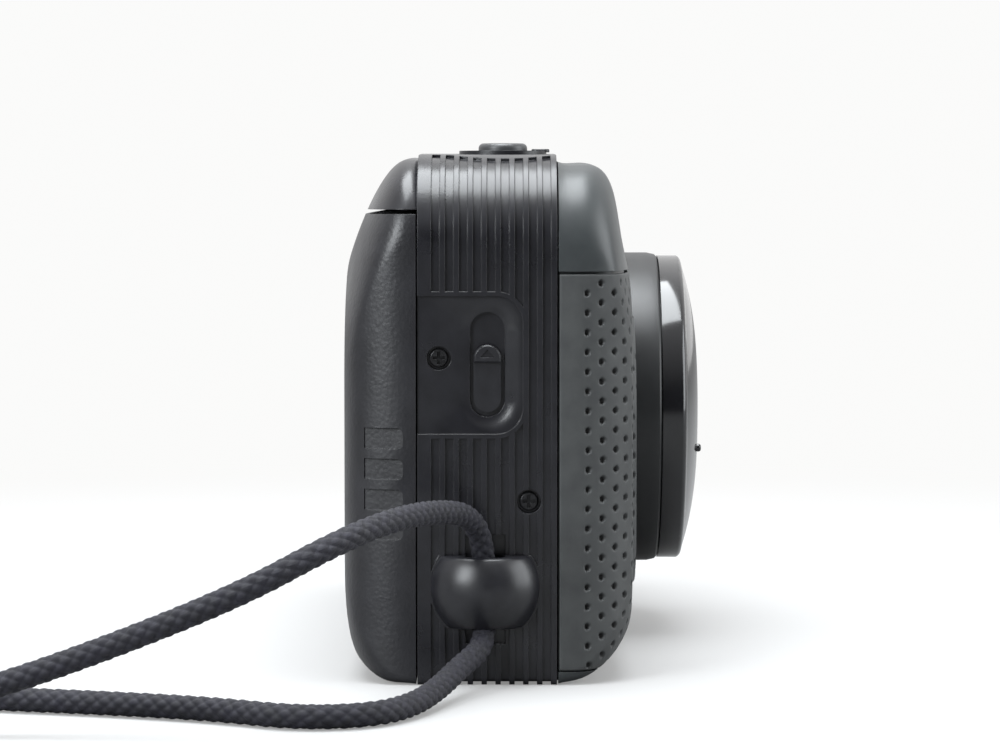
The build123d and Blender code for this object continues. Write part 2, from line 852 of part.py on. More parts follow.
with BuildPart() as front_bezel:
    with BuildSketch(Plane(origin=(lens_x, 0, lens_z), x_dir=(1, 0, 0), z_dir=(0, 0, 1))):
        with BuildLine():
            Line((front_inner, bezel_back), (skirt_r, bezel_back))
            Line((skirt_r, bezel_back), (skirt_r, skirt_back))
            Line((skirt_r, skirt_back), (bezel_r, skirt_back))
            Line((bezel_r, skirt_back), (bezel_r, bezel_band))
            ThreePointArc((bezel_r, bezel_band), bezel_round, bezel_edge)
            ThreePointArc(bezel_edge, bezel_bulge, (aperture_r + 1.2, bezel_face))
            Line((aperture_r + 1.2, bezel_face), (aperture_r, pocket_y))
            Line((aperture_r, pocket_y), (pocket_r, pocket_y))
            Line((pocket_r, pocket_y), (front_inner, bezel_back))
        make_face()
    revolve(axis=Axis((lens_x, 0, lens_z), (0, 1, 0)))
    with BuildSketch(across(pip_root)):
        with Locations((lens_x + pip_at[0], lens_z + pip_at[1])):
            Circle(pip_r)
    extrude(amount=pip_root - pip_tip)
    fillet(front_bezel.faces().sort_by(Axis.Y)[0].edges(), pip_round)
save(front_bezel.part, "front_bezel")

with BuildPart() as barrier_ring:
    with BuildSketch(across(-26.9)):
        with Locations((lens_x, lens_z)):
            Circle(front_inner - 0.05)
            Circle(aperture_r + 0.6, mode=Mode.SUBTRACT)
    extrude(amount=0.8)
    for side in (-1, 1):
        with BuildSketch(across(-27.7)):
            with Locations((lens_x + side * blade_pivot[0], lens_z + side * blade_pivot[1])):
                Circle(0.7)
        extrude(amount=0.95)
save(barrier_ring.part, "barrier_ring")


def barrier_blade(side):
    """Half of the lens cover, turning on its own pin. The lower one is the upper one half a turn round."""
    pivot = (lens_x + side * blade_pivot[0], lens_z + side * blade_pivot[1])
    with BuildPart() as blade:
        with BuildSketch(across(blade_y + blade_t)) as face:
            with Locations((lens_x, lens_z)):
                Circle(blade_r)
            with Locations((lens_x, lens_z - side * (20 - 0.1))):
                Rectangle(60, 40, mode=Mode.SUBTRACT)
            with BuildLine():
                Polyline(
                    (pivot[0], lens_z + side * 0.1),
                    (lens_x, lens_z + side * 0.1),
                    (lens_x, lens_z + side * 4.5),
                    (pivot[0], lens_z + side * 4.0),
                    close=True,
                )
            make_face()
            with Locations(pivot):
                Circle(1.9)
                Circle(0.75, mode=Mode.SUBTRACT)
        extrude(amount=blade_t)
    return blade


save(barrier_blade(1).part, "barrier_blade_upper")
save(barrier_blade(-1).part, "barrier_blade_lower")

lens_bulge_r = 20.3
with BuildPart() as front_lens:
    with BuildSketch(across(-21.6)):
        with Locations((lens_x, lens_z)):
            Circle(lens_r)
    extrude(amount=6)
    with Locations((lens_x, -25.6 + lens_bulge_r, lens_z)):
        Sphere(lens_bulge_r, mode=Mode.INTERSECT)
save(front_lens.part, "front_lens")

front_lens_cell = turned(
    [(lens_r, -21.0), (front_inner, -21.0), (front_inner, -26.0), (aperture_r + 3, -26.0), (lens_r, -24.2)]
)
save(front_lens_cell.part, "front_lens_cell")

rear_lens_r = 7.0
with BuildPart() as rear_lens:
    with BuildSketch(across(-6.8)):
        with Locations((lens_x, lens_z)):
            Circle(rear_lens_r)
    extrude(amount=4)
    with Locations((lens_x, -9.4 + lens_bulge_r, lens_z)):
        Sphere(lens_bulge_r, mode=Mode.INTERSECT)
save(rear_lens.part, "rear_lens")

rear_lens_cell = turned(
    [
        (rear_lens_r, -5.0),
        (front_inner, -5.0),
        (front_inner, -6.5),
        (rear_lens_r + 2, -6.5),
        (rear_lens_r + 2, -9.0),
        (rear_lens_r, -9.0),
    ]
)
save(rear_lens_cell.part, "rear_lens_cell")

shutter_r = 5.6
leaf_pivot = (9.6, 1.4)
shutter_plate_y = -14.0
with BuildPart() as shutter_plate:
    with BuildSketch(across(shutter_plate_y)):
        with Locations((lens_x, lens_z)):
            Circle(front_inner)
            Circle(shutter_r - 0.8, mode=Mode.SUBTRACT)
    extrude(amount=2.0)
    for side in (-1, 1):
        with BuildSketch(across(shutter_plate_y - 2.0)):
            with Locations((lens_x + side * leaf_pivot[0], lens_z + side * leaf_pivot[1])):
                Circle(0.5)
        extrude(amount=0.8)
save(shutter_plate.part, "shutter_plate")


def shutter_blade(side):
    """One of the two leaves that close the lens opening."""
    pivot = (lens_x + side * leaf_pivot[0], lens_z + side * leaf_pivot[1])
    with BuildPart() as leaf:
        with BuildSketch(across(shutter_plate_y - 2.15)):
            with Locations((lens_x, lens_z)):
                Circle(shutter_r)
            with Locations((lens_x, lens_z - side * (20 - 0.1))):
                Rectangle(60, 40, mode=Mode.SUBTRACT)
            with BuildLine():
                Polyline(
                    (pivot[0], lens_z + side * 0.1),
                    (lens_x, lens_z + side * 0.1),
                    (lens_x, lens_z + side * 3.0),
                    (pivot[0], lens_z + side * 2.6),
                    close=True,
                )
            make_face()
            with Locations(pivot):
                Circle(1.3)
                Circle(0.55, mode=Mode.SUBTRACT)
        extrude(amount=0.3)
    return leaf


save(shutter_blade(1).part, "shutter_blade_left")
save(shutter_blade(-1).part, "shutter_blade_right")

# Controls on the top
ring_h = 1.3
nub_w = 3.2
nub_d = 2.5
nub_out = 0.4
nub_low = 72.1
nub_high = 72.55
stem_low = 61.0
button_low = 71.9
button_h = 1.45
with BuildPart() as zoom_lever:
    with BuildSketch(Plane.XY.offset(ring_floor + 0.1)):
        with Locations((dial_x, dial_y)):
            Circle(ring_r)
            Circle(button_r + 0.1, mode=Mode.SUBTRACT)
    extrude(amount=ring_h)
    with BuildSketch(Plane.XY.offset(nub_low)):
        with Locations((dial_x, dial_y - ring_r + nub_d / 2 - nub_out)):
            RectangleRounded(nub_w, nub_d, 0.8)
    extrude(amount=nub_high - nub_low)
    fillet(zoom_lever.faces().sort_by(Axis.Z)[-1].edges(), 0.15)
save(zoom_lever.part, "zoom_lever")

with BuildPart() as shutter_button:
    with BuildSketch(Plane.XY.offset(button_low)):
        with Locations((dial_x, dial_y)):
            Circle(button_r)
    extrude(amount=button_h)
    fillet(shutter_button.faces().sort_by(Axis.Z)[-1].edges(), 0.7)
    with BuildSketch(Plane.XY.offset(stem_low)):
        with Locations((dial_x, dial_y)):
            Circle(stem_r)
    extrude(amount=button_low - stem_low + 0.1)
save(shutter_button.part, "shutter_button")


cap_low = 70.4
cap_proud = 0.45


def top_button(x, radius, stem):
    """A small round push button in the top cover, on its own stem."""
    with BuildPart() as button:
        with BuildSketch(Plane.XY.offset(cap_low)):
            with Locations((x, mode_y)):
                Circle(radius)
        extrude(amount=top_at(x) - cap_low + cap_proud)
        fillet(button.faces().sort_by(Axis.Z)[-1].edges(), 0.3)
        with BuildSketch(Plane.XY.offset(stem_low)):
            with Locations((x, mode_y)):
                Circle(stem)
        extrude(amount=cap_low - stem_low + 0.1)
    return button


for name, x in zip(["flash_mode_button", "timer_button", "date_button"], mode_xs):
    save(top_button(x, mode_r, 0.7).part, name)
save(top_button(power_x, mode_r + 0.8, 1.0).part, "power_button")

with BuildPart() as lcd_window:
    with BuildSketch(Plane.XY.offset(body_top - 0.2)):
        with Locations((lcd_x, lcd_y)):
            RectangleRounded(lcd_w - 0.1, lcd_h - 0.1, 1.95)
    extrude(amount=0.95)
    chamfer(lcd_window.faces().sort_by(Axis.Z)[-1].edges(), 0.15)
save(lcd_window.part, "lcd_window")

with BuildPart() as lcd_panel:
    with BuildSketch(Plane.XY.offset(69.0)):
        with Locations((lcd_x, lcd_y)):
            RectangleRounded(lcd_w - 3.1, lcd_h - 3.1, 1.1)
    extrude(amount=body_top - 0.2 - 69.0)
save(lcd_panel.part, "lcd_panel")

# Latch slider with its tooth inside the wall
slider_y = 0.5
slider_low = 36.95
slider_high = 46.05
slider_w = 3.7
slider_t = 0.6
thumb_low = 43.65
thumb_h = 1.25
tooth_low = 38.2
with BuildPart() as latch_slider:
    with BuildSketch(beside(channel_floor - 0.1)):
        with Locations((-slider_y, (slider_low + slider_high) / 2)):
            SlotOverall(slider_high - slider_low, slider_w, rotation=90)
    extrude(amount=slider_t)
    with BuildSketch(beside(channel_floor - 0.1)):
        with Locations((-slider_y, (slider_low + slider_high) / 2)):
            SlotOverall(slider_high - slider_low, slider_w, rotation=90)
        with Locations((-slider_y, thumb_low - 10)):
            Rectangle(10, 20, mode=Mode.SUBTRACT)
    extrude(amount=thumb_h)
    chamfer(latch_slider.faces().sort_by(Axis.X)[0].edges(), 0.2)
    with BuildSketch(beside(channel_floor - 0.1 - thumb_h)):
        with Locations((-slider_y, thumb_low + 1.05)):
            Triangle(a=2.0, b=1.5, c=1.5)
    extrude(amount=-0.25, mode=Mode.SUBTRACT)
    with BuildSketch(beside(-59.4)):
        with Locations((-slider_y, 40.6)):
            Rectangle(1.9, 2.2)
    extrude(amount=-59.4 - channel_floor + 0.2)
    with BuildSketch(beside(-59.3)):
        with Locations((-3.2, tooth_low + 1.6)):
            Rectangle(8.2, 3.2)
    extrude(amount=0.75)
save(latch_slider.part, "latch_slider")

# Film chassis: rear plate with the gate and rails, cartridge chamber, take-up chamber, battery bay
chassis_t = 0.8
plate_y = 11.0
bay_r = 8.65
board_z = chamber_high + 1.2
seal_t = 0.9
with BuildPart() as film_chassis:
    with BuildSketch(across(plate_y)):
        with Locations(((take_up_x + chamber_x) / 2, (chamber_low + chamber_high) / 2)):
            Rectangle(chamber_x - take_up_x + 27, chamber_high - chamber_low + 2.4)
    extrude(amount=plate_y - chassis_front)
    with BuildSketch(Plane.XY.offset(chamber_low - 1.2)):
        with Locations((chamber_x, chamber_y)):
            Circle(chamber_r + chassis_t)
        with Locations((take_up_x, take_up_y)):
            Circle(take_up_r + chassis_t)
        with Locations((chamber_x, (chamber_y + chassis_front) / 2)):
            Rectangle(2 * (chamber_r + chassis_t), chassis_front - chamber_y)
        with Locations((take_up_x, (take_up_y + chassis_front) / 2)):
            Rectangle(2 * (take_up_r + chassis_t), chassis_front - take_up_y)
        with Locations((0, plate_y + 10)):
            Rectangle(200, 20, mode=Mode.SUBTRACT)
    extrude(amount=chamber_high - chamber_low + 2.4)
    with BuildSketch(Plane.XY.offset(chamber_low)):
        with Locations((battery_x, battery_y)):
            Circle(bay_r + 0.7)
        with Locations((battery_x - 14, battery_y)):
            Rectangle(20, 30, mode=Mode.SUBTRACT)
    extrude(amount=20)
    # Chambers, open towards the film door
    with BuildSketch(Plane.XY.offset(chamber_low)):
        with Locations((chamber_x, chamber_y)):
            Circle(chamber_r)
        with Locations((take_up_x, take_up_y)):
            Circle(take_up_r)
        with Locations((chamber_x, chamber_y + 10)):
            Rectangle(2 * chamber_r - 0.6, 20)
        with Locations((take_up_x, take_up_y + 10)):
            Rectangle(2 * take_up_r - 0.6, 20)
    extrude(amount=chamber_high - chamber_low, mode=Mode.SUBTRACT)
    with BuildSketch(Plane.XY.offset(chamber_low - 5)):
        with Locations((battery_x, battery_y)):
            Circle(bay_r)
        with Locations((chamber_x, chamber_y)):
            Circle(2.55)
        with Locations((take_up_x, take_up_y)):
            Circle(2.05)
    extrude(amount=28, mode=Mode.SUBTRACT)
    with BuildSketch(across(plate_y + 1)):
        with Locations((lens_x, lens_z)):
            Rectangle(36.5, 24.5)
    extrude(amount=4, mode=Mode.SUBTRACT)
    # Film rails
    with BuildSketch(across(film_y)):
        for rail_z in (-18.3, -13.4, 13.4, 18.3):
            with Locations((lens_x, lens_z + rail_z)):
                Rectangle(46, 1.0)
    extrude(amount=film_y - plate_y)
    # Shelf tabs to the side walls, bosses to the base, posts for the board
    with BuildSketch(Plane.XY.offset(chamber_high)):
        with Locations(((-half_width + wall + take_up_x) / 2 - 5.5, 2.2)):
            Rectangle(take_up_x - 11 + half_width - wall, 14)
        with Locations((half_width - wall - 3, 2.2)):
            Rectangle(6, 14)
    extrude(amount=1.2)
    with BuildSketch(Plane.XY.offset(wall)):
        with Locations(*base_screws):
            Circle(2.4)
            Circle(shank_r, mode=Mode.SUBTRACT)
    extrude(amount=chamber_low - 1.2 - wall)
    with BuildSketch(Plane.XY.offset(wall)):
        with Locations(*base_screws):
            Circle(shank_r)
    extrude(amount=6, mode=Mode.SUBTRACT)
save(film_chassis.part, "film_chassis")


gear_low = 6.95
gear_h = 1.6
gear_teeth = 26
gear_module = 0.5


def spur_gear(x, y, bore):
    """A small moulded gear with square-cut teeth, with its bore filled by the shaft that it's moulded on."""
    root = gear_teeth * gear_module / 2 - 1.25 * gear_module
    with BuildPart() as gear:
        with BuildSketch(Plane.XY.offset(gear_low)):
            with Locations((x, y)):
                Circle(root)
                with PolarLocations(root + 0.9 * gear_module, gear_teeth):
                    Rectangle(2 * gear_module, 1.2 * gear_module)
                Circle(bore, mode=Mode.SUBTRACT)
        extrude(amount=gear_h)
    return gear


with BuildPart() as door_light_seals:
    with BuildSketch(across(plate_y + seal_t)):
        for seal_z in (chamber_low - 0.6, chamber_high + 0.6):
            with Locations(((take_up_x + chamber_x) / 2, seal_z)):
                Rectangle(98, 1.0)
    extrude(amount=seal_t)
save(door_light_seals.part, "door_light_seals")

spool_r = 7.2
spool_wall = 0.9
spool_low = chamber_low + 1.0
spool_h = 46.0
spindle_r = 2.0
claw_size = 1.2
with BuildPart() as take_up_spool:
    with BuildSketch(Plane.XY.offset(spool_low)):
        with Locations((take_up_x, take_up_y)):
            Circle(spool_r)
    extrude(amount=spool_h)
    with BuildSketch(Plane.XY.offset(spool_low + 1.5)):
        with Locations((take_up_x, take_up_y)):
            Circle(spool_r - spool_wall)
    extrude(amount=spool_h, mode=Mode.SUBTRACT)
    with BuildSketch(Plane.XY.offset(gear_low)):
        with Locations((take_up_x, take_up_y)):
            Circle(spindle_r)
    extrude(amount=spool_low - gear_low + 0.1)
    for claw_z in (lens_z - 10, lens_z + 10):
        with BuildSketch(Plane.XY.offset(claw_z)):
            with Locations((take_up_x, take_up_y + spool_r + 0.1)):
                Rectangle(claw_size, claw_size + 0.2)
        extrude(amount=claw_size)
    add(spur_gear(take_up_x, take_up_y, spindle_r - 0.1).part)
save(take_up_spool.part, "take_up_spool")

wind_motor_r = 5.9
wind_motor_low = 22.0
motor_shaft_h = 8.0
with BuildPart() as wind_motor:
    with BuildSketch(Plane.XY.offset(wind_motor_low)):
        with Locations((take_up_x, take_up_y)):
            Circle(wind_motor_r)
    extrude(amount=chamber_high - wind_motor_low)
    with BuildSketch(Plane.XY.offset(wind_motor_low - motor_shaft_h)):
        with Locations((take_up_x, take_up_y)):
            Circle(1.0)
    extrude(amount=motor_shaft_h)
save(wind_motor.part, "wind_motor")

fork_r = 2.5
fork_collar_r = 3.4
fork_collar_low = chamber_low + 0.4
fork_key = (5.0, 1.3)
with BuildPart() as rewind_fork:
    with BuildSketch(Plane.XY.offset(gear_low)):
        with Locations((chamber_x, chamber_y)):
            Circle(fork_r)
    extrude(amount=fork_collar_low - gear_low + 0.5)
    with BuildSketch(Plane.XY.offset(fork_collar_low)):
        with Locations((chamber_x, chamber_y)):
            Circle(fork_collar_r)
    extrude(amount=0.8)
    with BuildSketch(Plane.XY.offset(fork_collar_low + 0.6)):
        with Locations((chamber_x, chamber_y)):
            Rectangle(*fork_key)
    extrude(amount=2.4)
    add(spur_gear(chamber_x, chamber_y, fork_r - 0.1).part)
save(rewind_fork.part, "rewind_fork")

board_t = 1.0
board_size = (100.0, 16.8)
chip_row_y = 3.5
chips = [(-30.0, 10.0), (-10.0, 12.0), (30.0, 9.0), (47.0, 7.0)]
with BuildPart() as circuit_board:
    with BuildSketch(Plane.XY.offset(board_z)):
        with Locations((4.0, 0.4)):
            Rectangle(*board_size)
    extrude(amount=board_t)
    with BuildSketch(Plane.XY.offset(board_z + board_t)):
        for chip_x, chip_w in chips:
            with Locations((chip_x, chip_row_y)):
                Rectangle(chip_w, 8.0)
    extrude(amount=0.7)
save(circuit_board.part, "circuit_board")

finder_low = 60.4
finder_high = 68.3
finder_back = 9.4
finder_wall = 0.8
finder_run = 22.6
with BuildPart() as viewfinder_tube:
    with BuildSketch(across(finder_back)):
        with Locations((finder_place[0], (finder_low + finder_high) / 2)):
            Rectangle(13.4, finder_high - finder_low)
            Rectangle(13.4 - 2 * finder_wall, finder_high - finder_low - 2 * finder_wall, mode=Mode.SUBTRACT)
    extrude(amount=finder_run)
save(viewfinder_tube.part, "viewfinder_tube")

with BuildPart() as viewfinder_eyepiece:
    with BuildSketch(across(15.3)):
        with Locations((eyepiece_x, eyepiece_z)):
            RectangleRounded(eyepiece_w - 0.1, eyepiece_h - 0.1, 0.75)
    extrude(amount=5.8)
    add(door_form.part, mode=Mode.INTERSECT)
save(viewfinder_eyepiece.part, "viewfinder_eyepiece")

flash_z = 63.0
reflector_y = -12.2
reflector_half = 8.4
with BuildPart() as flash_reflector:
    with BuildSketch(Plane.YZ.offset(flash_place[0] - reflector_half)):
        with Locations((reflector_y, flash_z)):
            Rectangle(4.2, 6.0)
        with Locations((reflector_y - 3.4, flash_z)):
            Ellipse(4.6, 2.7, mode=Mode.SUBTRACT)
    extrude(amount=2 * reflector_half)
save(flash_reflector.part, "flash_reflector")

with BuildPart() as flash_tube:
    with BuildSketch(Plane.YZ.offset(flash_place[0] - reflector_half + 0.4)):
        with Locations((reflector_y - 0.7, flash_z)):
            Circle(1.0)
    extrude(amount=2 * reflector_half - 0.8)
save(flash_tube.part, "flash_tube")

capacitor_r = 3.4
capacitor_at = (-12.2, 7.0)
capacitor_run = 28.0
with BuildPart() as flash_capacitor:
    with BuildSketch(Plane.YZ.offset(-2.0)):
        with Locations(capacitor_at):
            Circle(capacitor_r)
    extrude(amount=capacitor_run)
    fillet(flash_capacitor.edges().group_by(Axis.X)[-1], 0.4)
save(flash_capacitor.part, "flash_capacitor")

zoom_motor_at = (-10.0, 10.6)
zoom_motor_r = 4.5
zoom_motor_run = 16.0
with BuildPart() as zoom_motor:
    with BuildSketch(across(finder_back)):
        with Locations(zoom_motor_at):
            Circle(zoom_motor_r)
    extrude(amount=zoom_motor_run)
    with BuildSketch(across(finder_back - zoom_motor_run)):
        with Locations(zoom_motor_at):
            Circle(0.8)
    extrude(amount=5)
save(zoom_motor.part, "zoom_motor")

# Battery, its contacts and hatch
with BuildPart() as battery:
    with BuildSketch(Plane.XY.offset(battery_low)):
        with Locations((battery_x, battery_y)):
            Circle(battery_r)
    extrude(amount=battery_h - 1.0)
    with BuildSketch(Plane.XY.offset(battery_low + battery_h - 1.0)):
        with Locations((battery_x, battery_y)):
            Circle(3.0)
    extrude(amount=1.0)
save(battery.part, "battery")

contact_z = battery_low + battery_h
with BuildPart() as battery_contact:
    with BuildSketch(Plane.XY.offset(contact_z)):
        with Locations((battery_x + 3.5, battery_y)):
            Rectangle(15.0, 5.0)
        with Locations((take_up_x, take_up_y)):
            Circle(take_up_r + chassis_t, mode=Mode.SUBTRACT)
    extrude(amount=0.4)
save(battery_contact.part, "battery_contact")

hatch_mid_x = (hatch_x0 + hatch_x1) / 2
hatch_play = 0.1
with BuildPart() as battery_hatch:
    with BuildSketch(Plane.XY.offset(hatch_low)):
        with Locations((hatch_mid_x, (hatch_y0 + hatch_play + hatch_pin_y) / 2)):
            Rectangle(hatch_x1 - hatch_x0 - 2 * hatch_play, hatch_pin_y - hatch_y0 - hatch_play)
    extrude(amount=hatch_t)
    fillet(battery_hatch.edges().filter_by(Axis.Z).group_by(Axis.Y)[0], 1.95)
    with BuildSketch(beside(hatch_x1 - 2)):
        with Locations((-hatch_pin_y, hatch_pin_z)):
            Circle(hatch_t / 2)
    extrude(amount=hatch_x1 - hatch_x0 - 4)
    with BuildSketch(Plane.XY.offset(hatch_low)):
        for end_x in (hatch_x0 + 1, hatch_x1 - 1):
            with Locations((end_x, hatch_pin_y - 1)):
                Rectangle(2.2, 4)
    extrude(amount=hatch_t, mode=Mode.SUBTRACT)
    with BuildSketch(beside(hatch_x1 + 1)):
        with Locations((-hatch_pin_y, hatch_pin_z)):
            Circle(hatch_pin_r + 0.05)
    extrude(amount=30, mode=Mode.SUBTRACT)
    with BuildSketch(Plane.XY.offset(hatch_low)):
        for grip_y in (-9.6, -8.4, -7.2):
            with Locations((hatch_mid_x, grip_y)):
                Rectangle(8.0, 0.6)
    extrude(amount=0.3, mode=Mode.SUBTRACT)
save(battery_hatch.part, "battery_hatch")

with BuildPart() as hatch_contact:
    with BuildSketch(Plane.YZ.offset(battery_x - 3)):
        with BuildLine():
            Polyline(
                (battery_y - 5, hatch_low + hatch_t),
                (battery_y - 4.6, hatch_low + hatch_t),
                (battery_y, battery_low - 0.5),
                (battery_y + 4.6, hatch_low + hatch_t),
                (battery_y + 5, hatch_low + hatch_t),
                (battery_y, battery_low - 0.1),
                close=True,
            )
        make_face()
    extrude(amount=6)
save(hatch_contact.part, "hatch_contact")

with BuildPart() as hatch_pin:
    with BuildSketch(beside(hatch_x1 + 0.9)):
        with Locations((-hatch_pin_y, hatch_pin_z)):
            Circle(hatch_pin_r)
    extrude(amount=hatch_x1 - hatch_x0 + 1.8)
save(hatch_pin.part, "hatch_pin")

# Base fittings
with BuildPart() as tripod_bush:
    with BuildSketch(Plane.XY):
        Circle(bush_r)
    extrude(amount=bush_h)
    with BuildSketch(Plane.XY.offset(wall)):
        Circle(bush_r + 1.6)
    extrude(amount=1.0)
    with BuildSketch(Plane.XY.offset(-1)):
        Circle(socket_r)
    extrude(amount=10, mode=Mode.SUBTRACT)
save(tripod_bush.part, "tripod_bush")

with BuildPart() as rewind_button:
    with BuildSketch(Plane.XY.offset(0.4)):
        with Locations(rewind_place):
            Circle(rewind_r)
    extrude(amount=3.4)
    with BuildSketch(Plane.XY.offset(2.2)):
        with Locations(rewind_place):
            Circle(rewind_r + 0.8)
    extrude(amount=0.6)
save(rewind_button.part, "rewind_button")


cross_long = 1.7
cross_w = 0.44
cross_deep = 0.5


def screw(plane, at, head_low, head_h, shank):
    """A cross-headed screw seen from outside along the plane's normal, driven inwards."""
    with BuildPart() as item:
        with BuildSketch(plane.offset(head_low)):
            with Locations(at):
                Circle(screw_head_r)
        extrude(amount=head_h)
        chamfer(item.faces().sort_by(Axis(plane.origin, plane.z_dir))[-1].edges(), 0.2)
        with BuildSketch(plane.offset(head_low - shank)):
            with Locations(at):
                Circle(shank_r - 0.02)
        extrude(amount=shank)
        with BuildSketch(plane.offset(head_low + head_h - cross_deep)):
            with Locations(at):
                Rectangle(cross_long, cross_w)
                Rectangle(cross_w, cross_long)
        extrude(amount=1, mode=Mode.SUBTRACT)
    return item.part


side_screws = [
    screw(beside(-half_width + screw_deep + panel_depth), (-y, z), 0, 0.7, 1.1) for y, z in screw_sides
]
under = Plane(origin=(0, 0, base_recess), x_dir=(1, 0, 0), z_dir=(0, 0, -1))
bottom_screws = [screw(under, (x, -y), 0, 0.6, 5.0) for x, y in base_screws]
with BuildPart() as case_screws:
    add(side_screws)
    add(bottom_screws)
save(case_screws.part, "case_screws")
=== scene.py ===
import bpy
import bmesh
import json
import math
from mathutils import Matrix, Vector
from mathutils.bvhtree import BVHTree


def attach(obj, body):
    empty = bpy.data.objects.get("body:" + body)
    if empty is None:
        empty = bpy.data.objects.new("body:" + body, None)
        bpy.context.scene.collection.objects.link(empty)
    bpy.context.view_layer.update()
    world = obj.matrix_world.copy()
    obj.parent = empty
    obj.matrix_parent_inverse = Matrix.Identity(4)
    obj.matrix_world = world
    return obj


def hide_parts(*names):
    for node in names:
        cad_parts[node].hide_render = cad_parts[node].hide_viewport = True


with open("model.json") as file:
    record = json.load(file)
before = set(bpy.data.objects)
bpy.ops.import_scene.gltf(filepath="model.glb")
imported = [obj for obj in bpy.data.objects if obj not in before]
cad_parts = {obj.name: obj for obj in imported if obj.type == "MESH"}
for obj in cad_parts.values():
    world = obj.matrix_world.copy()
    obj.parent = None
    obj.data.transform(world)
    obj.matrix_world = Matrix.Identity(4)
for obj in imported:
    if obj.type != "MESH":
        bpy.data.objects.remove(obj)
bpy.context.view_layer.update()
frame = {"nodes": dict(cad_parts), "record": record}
mm = 0.001
behaviour = frame["record"]["behaviour"]
bodyOf = {node: body for body, nodes in behaviour["bodies"].items() for node in nodes}
slotOf = {row["node"]: row["material_slot"] for row in frame["record"]["subparts"]}


def clearSelection():
    if bpy.context.object and bpy.context.object.mode != "OBJECT":
        bpy.ops.object.mode_set(mode="OBJECT")
    bpy.ops.object.select_all(action="DESELECT")


def pick(piece):
    clearSelection()
    piece.select_set(True)
    bpy.context.view_layer.objects.active = piece


# camera at the photograph's viewing angle, looking at the latch side
cameraSet = {"eye": (-542.34, -1.2, 67.12), "tilt": 3.0, "lens": 128.48, "sensor": 36.0, "nearest": 10.0}


def placeCamera():
    clearSelection()
    turn = (math.radians(90 - cameraSet["tilt"]), 0, math.radians(-90))
    bpy.ops.object.camera_add(location=[v * mm for v in cameraSet["eye"]], rotation=turn)
    camera = bpy.context.object
    camera.data.sensor_fit = "HORIZONTAL"
    camera.data.sensor_width = cameraSet["sensor"]
    camera.data.lens = cameraSet["lens"]
    camera.data.clip_start = cameraSet["nearest"] * mm
    bpy.context.scene.camera = camera


placeCamera()
print("camera placed")

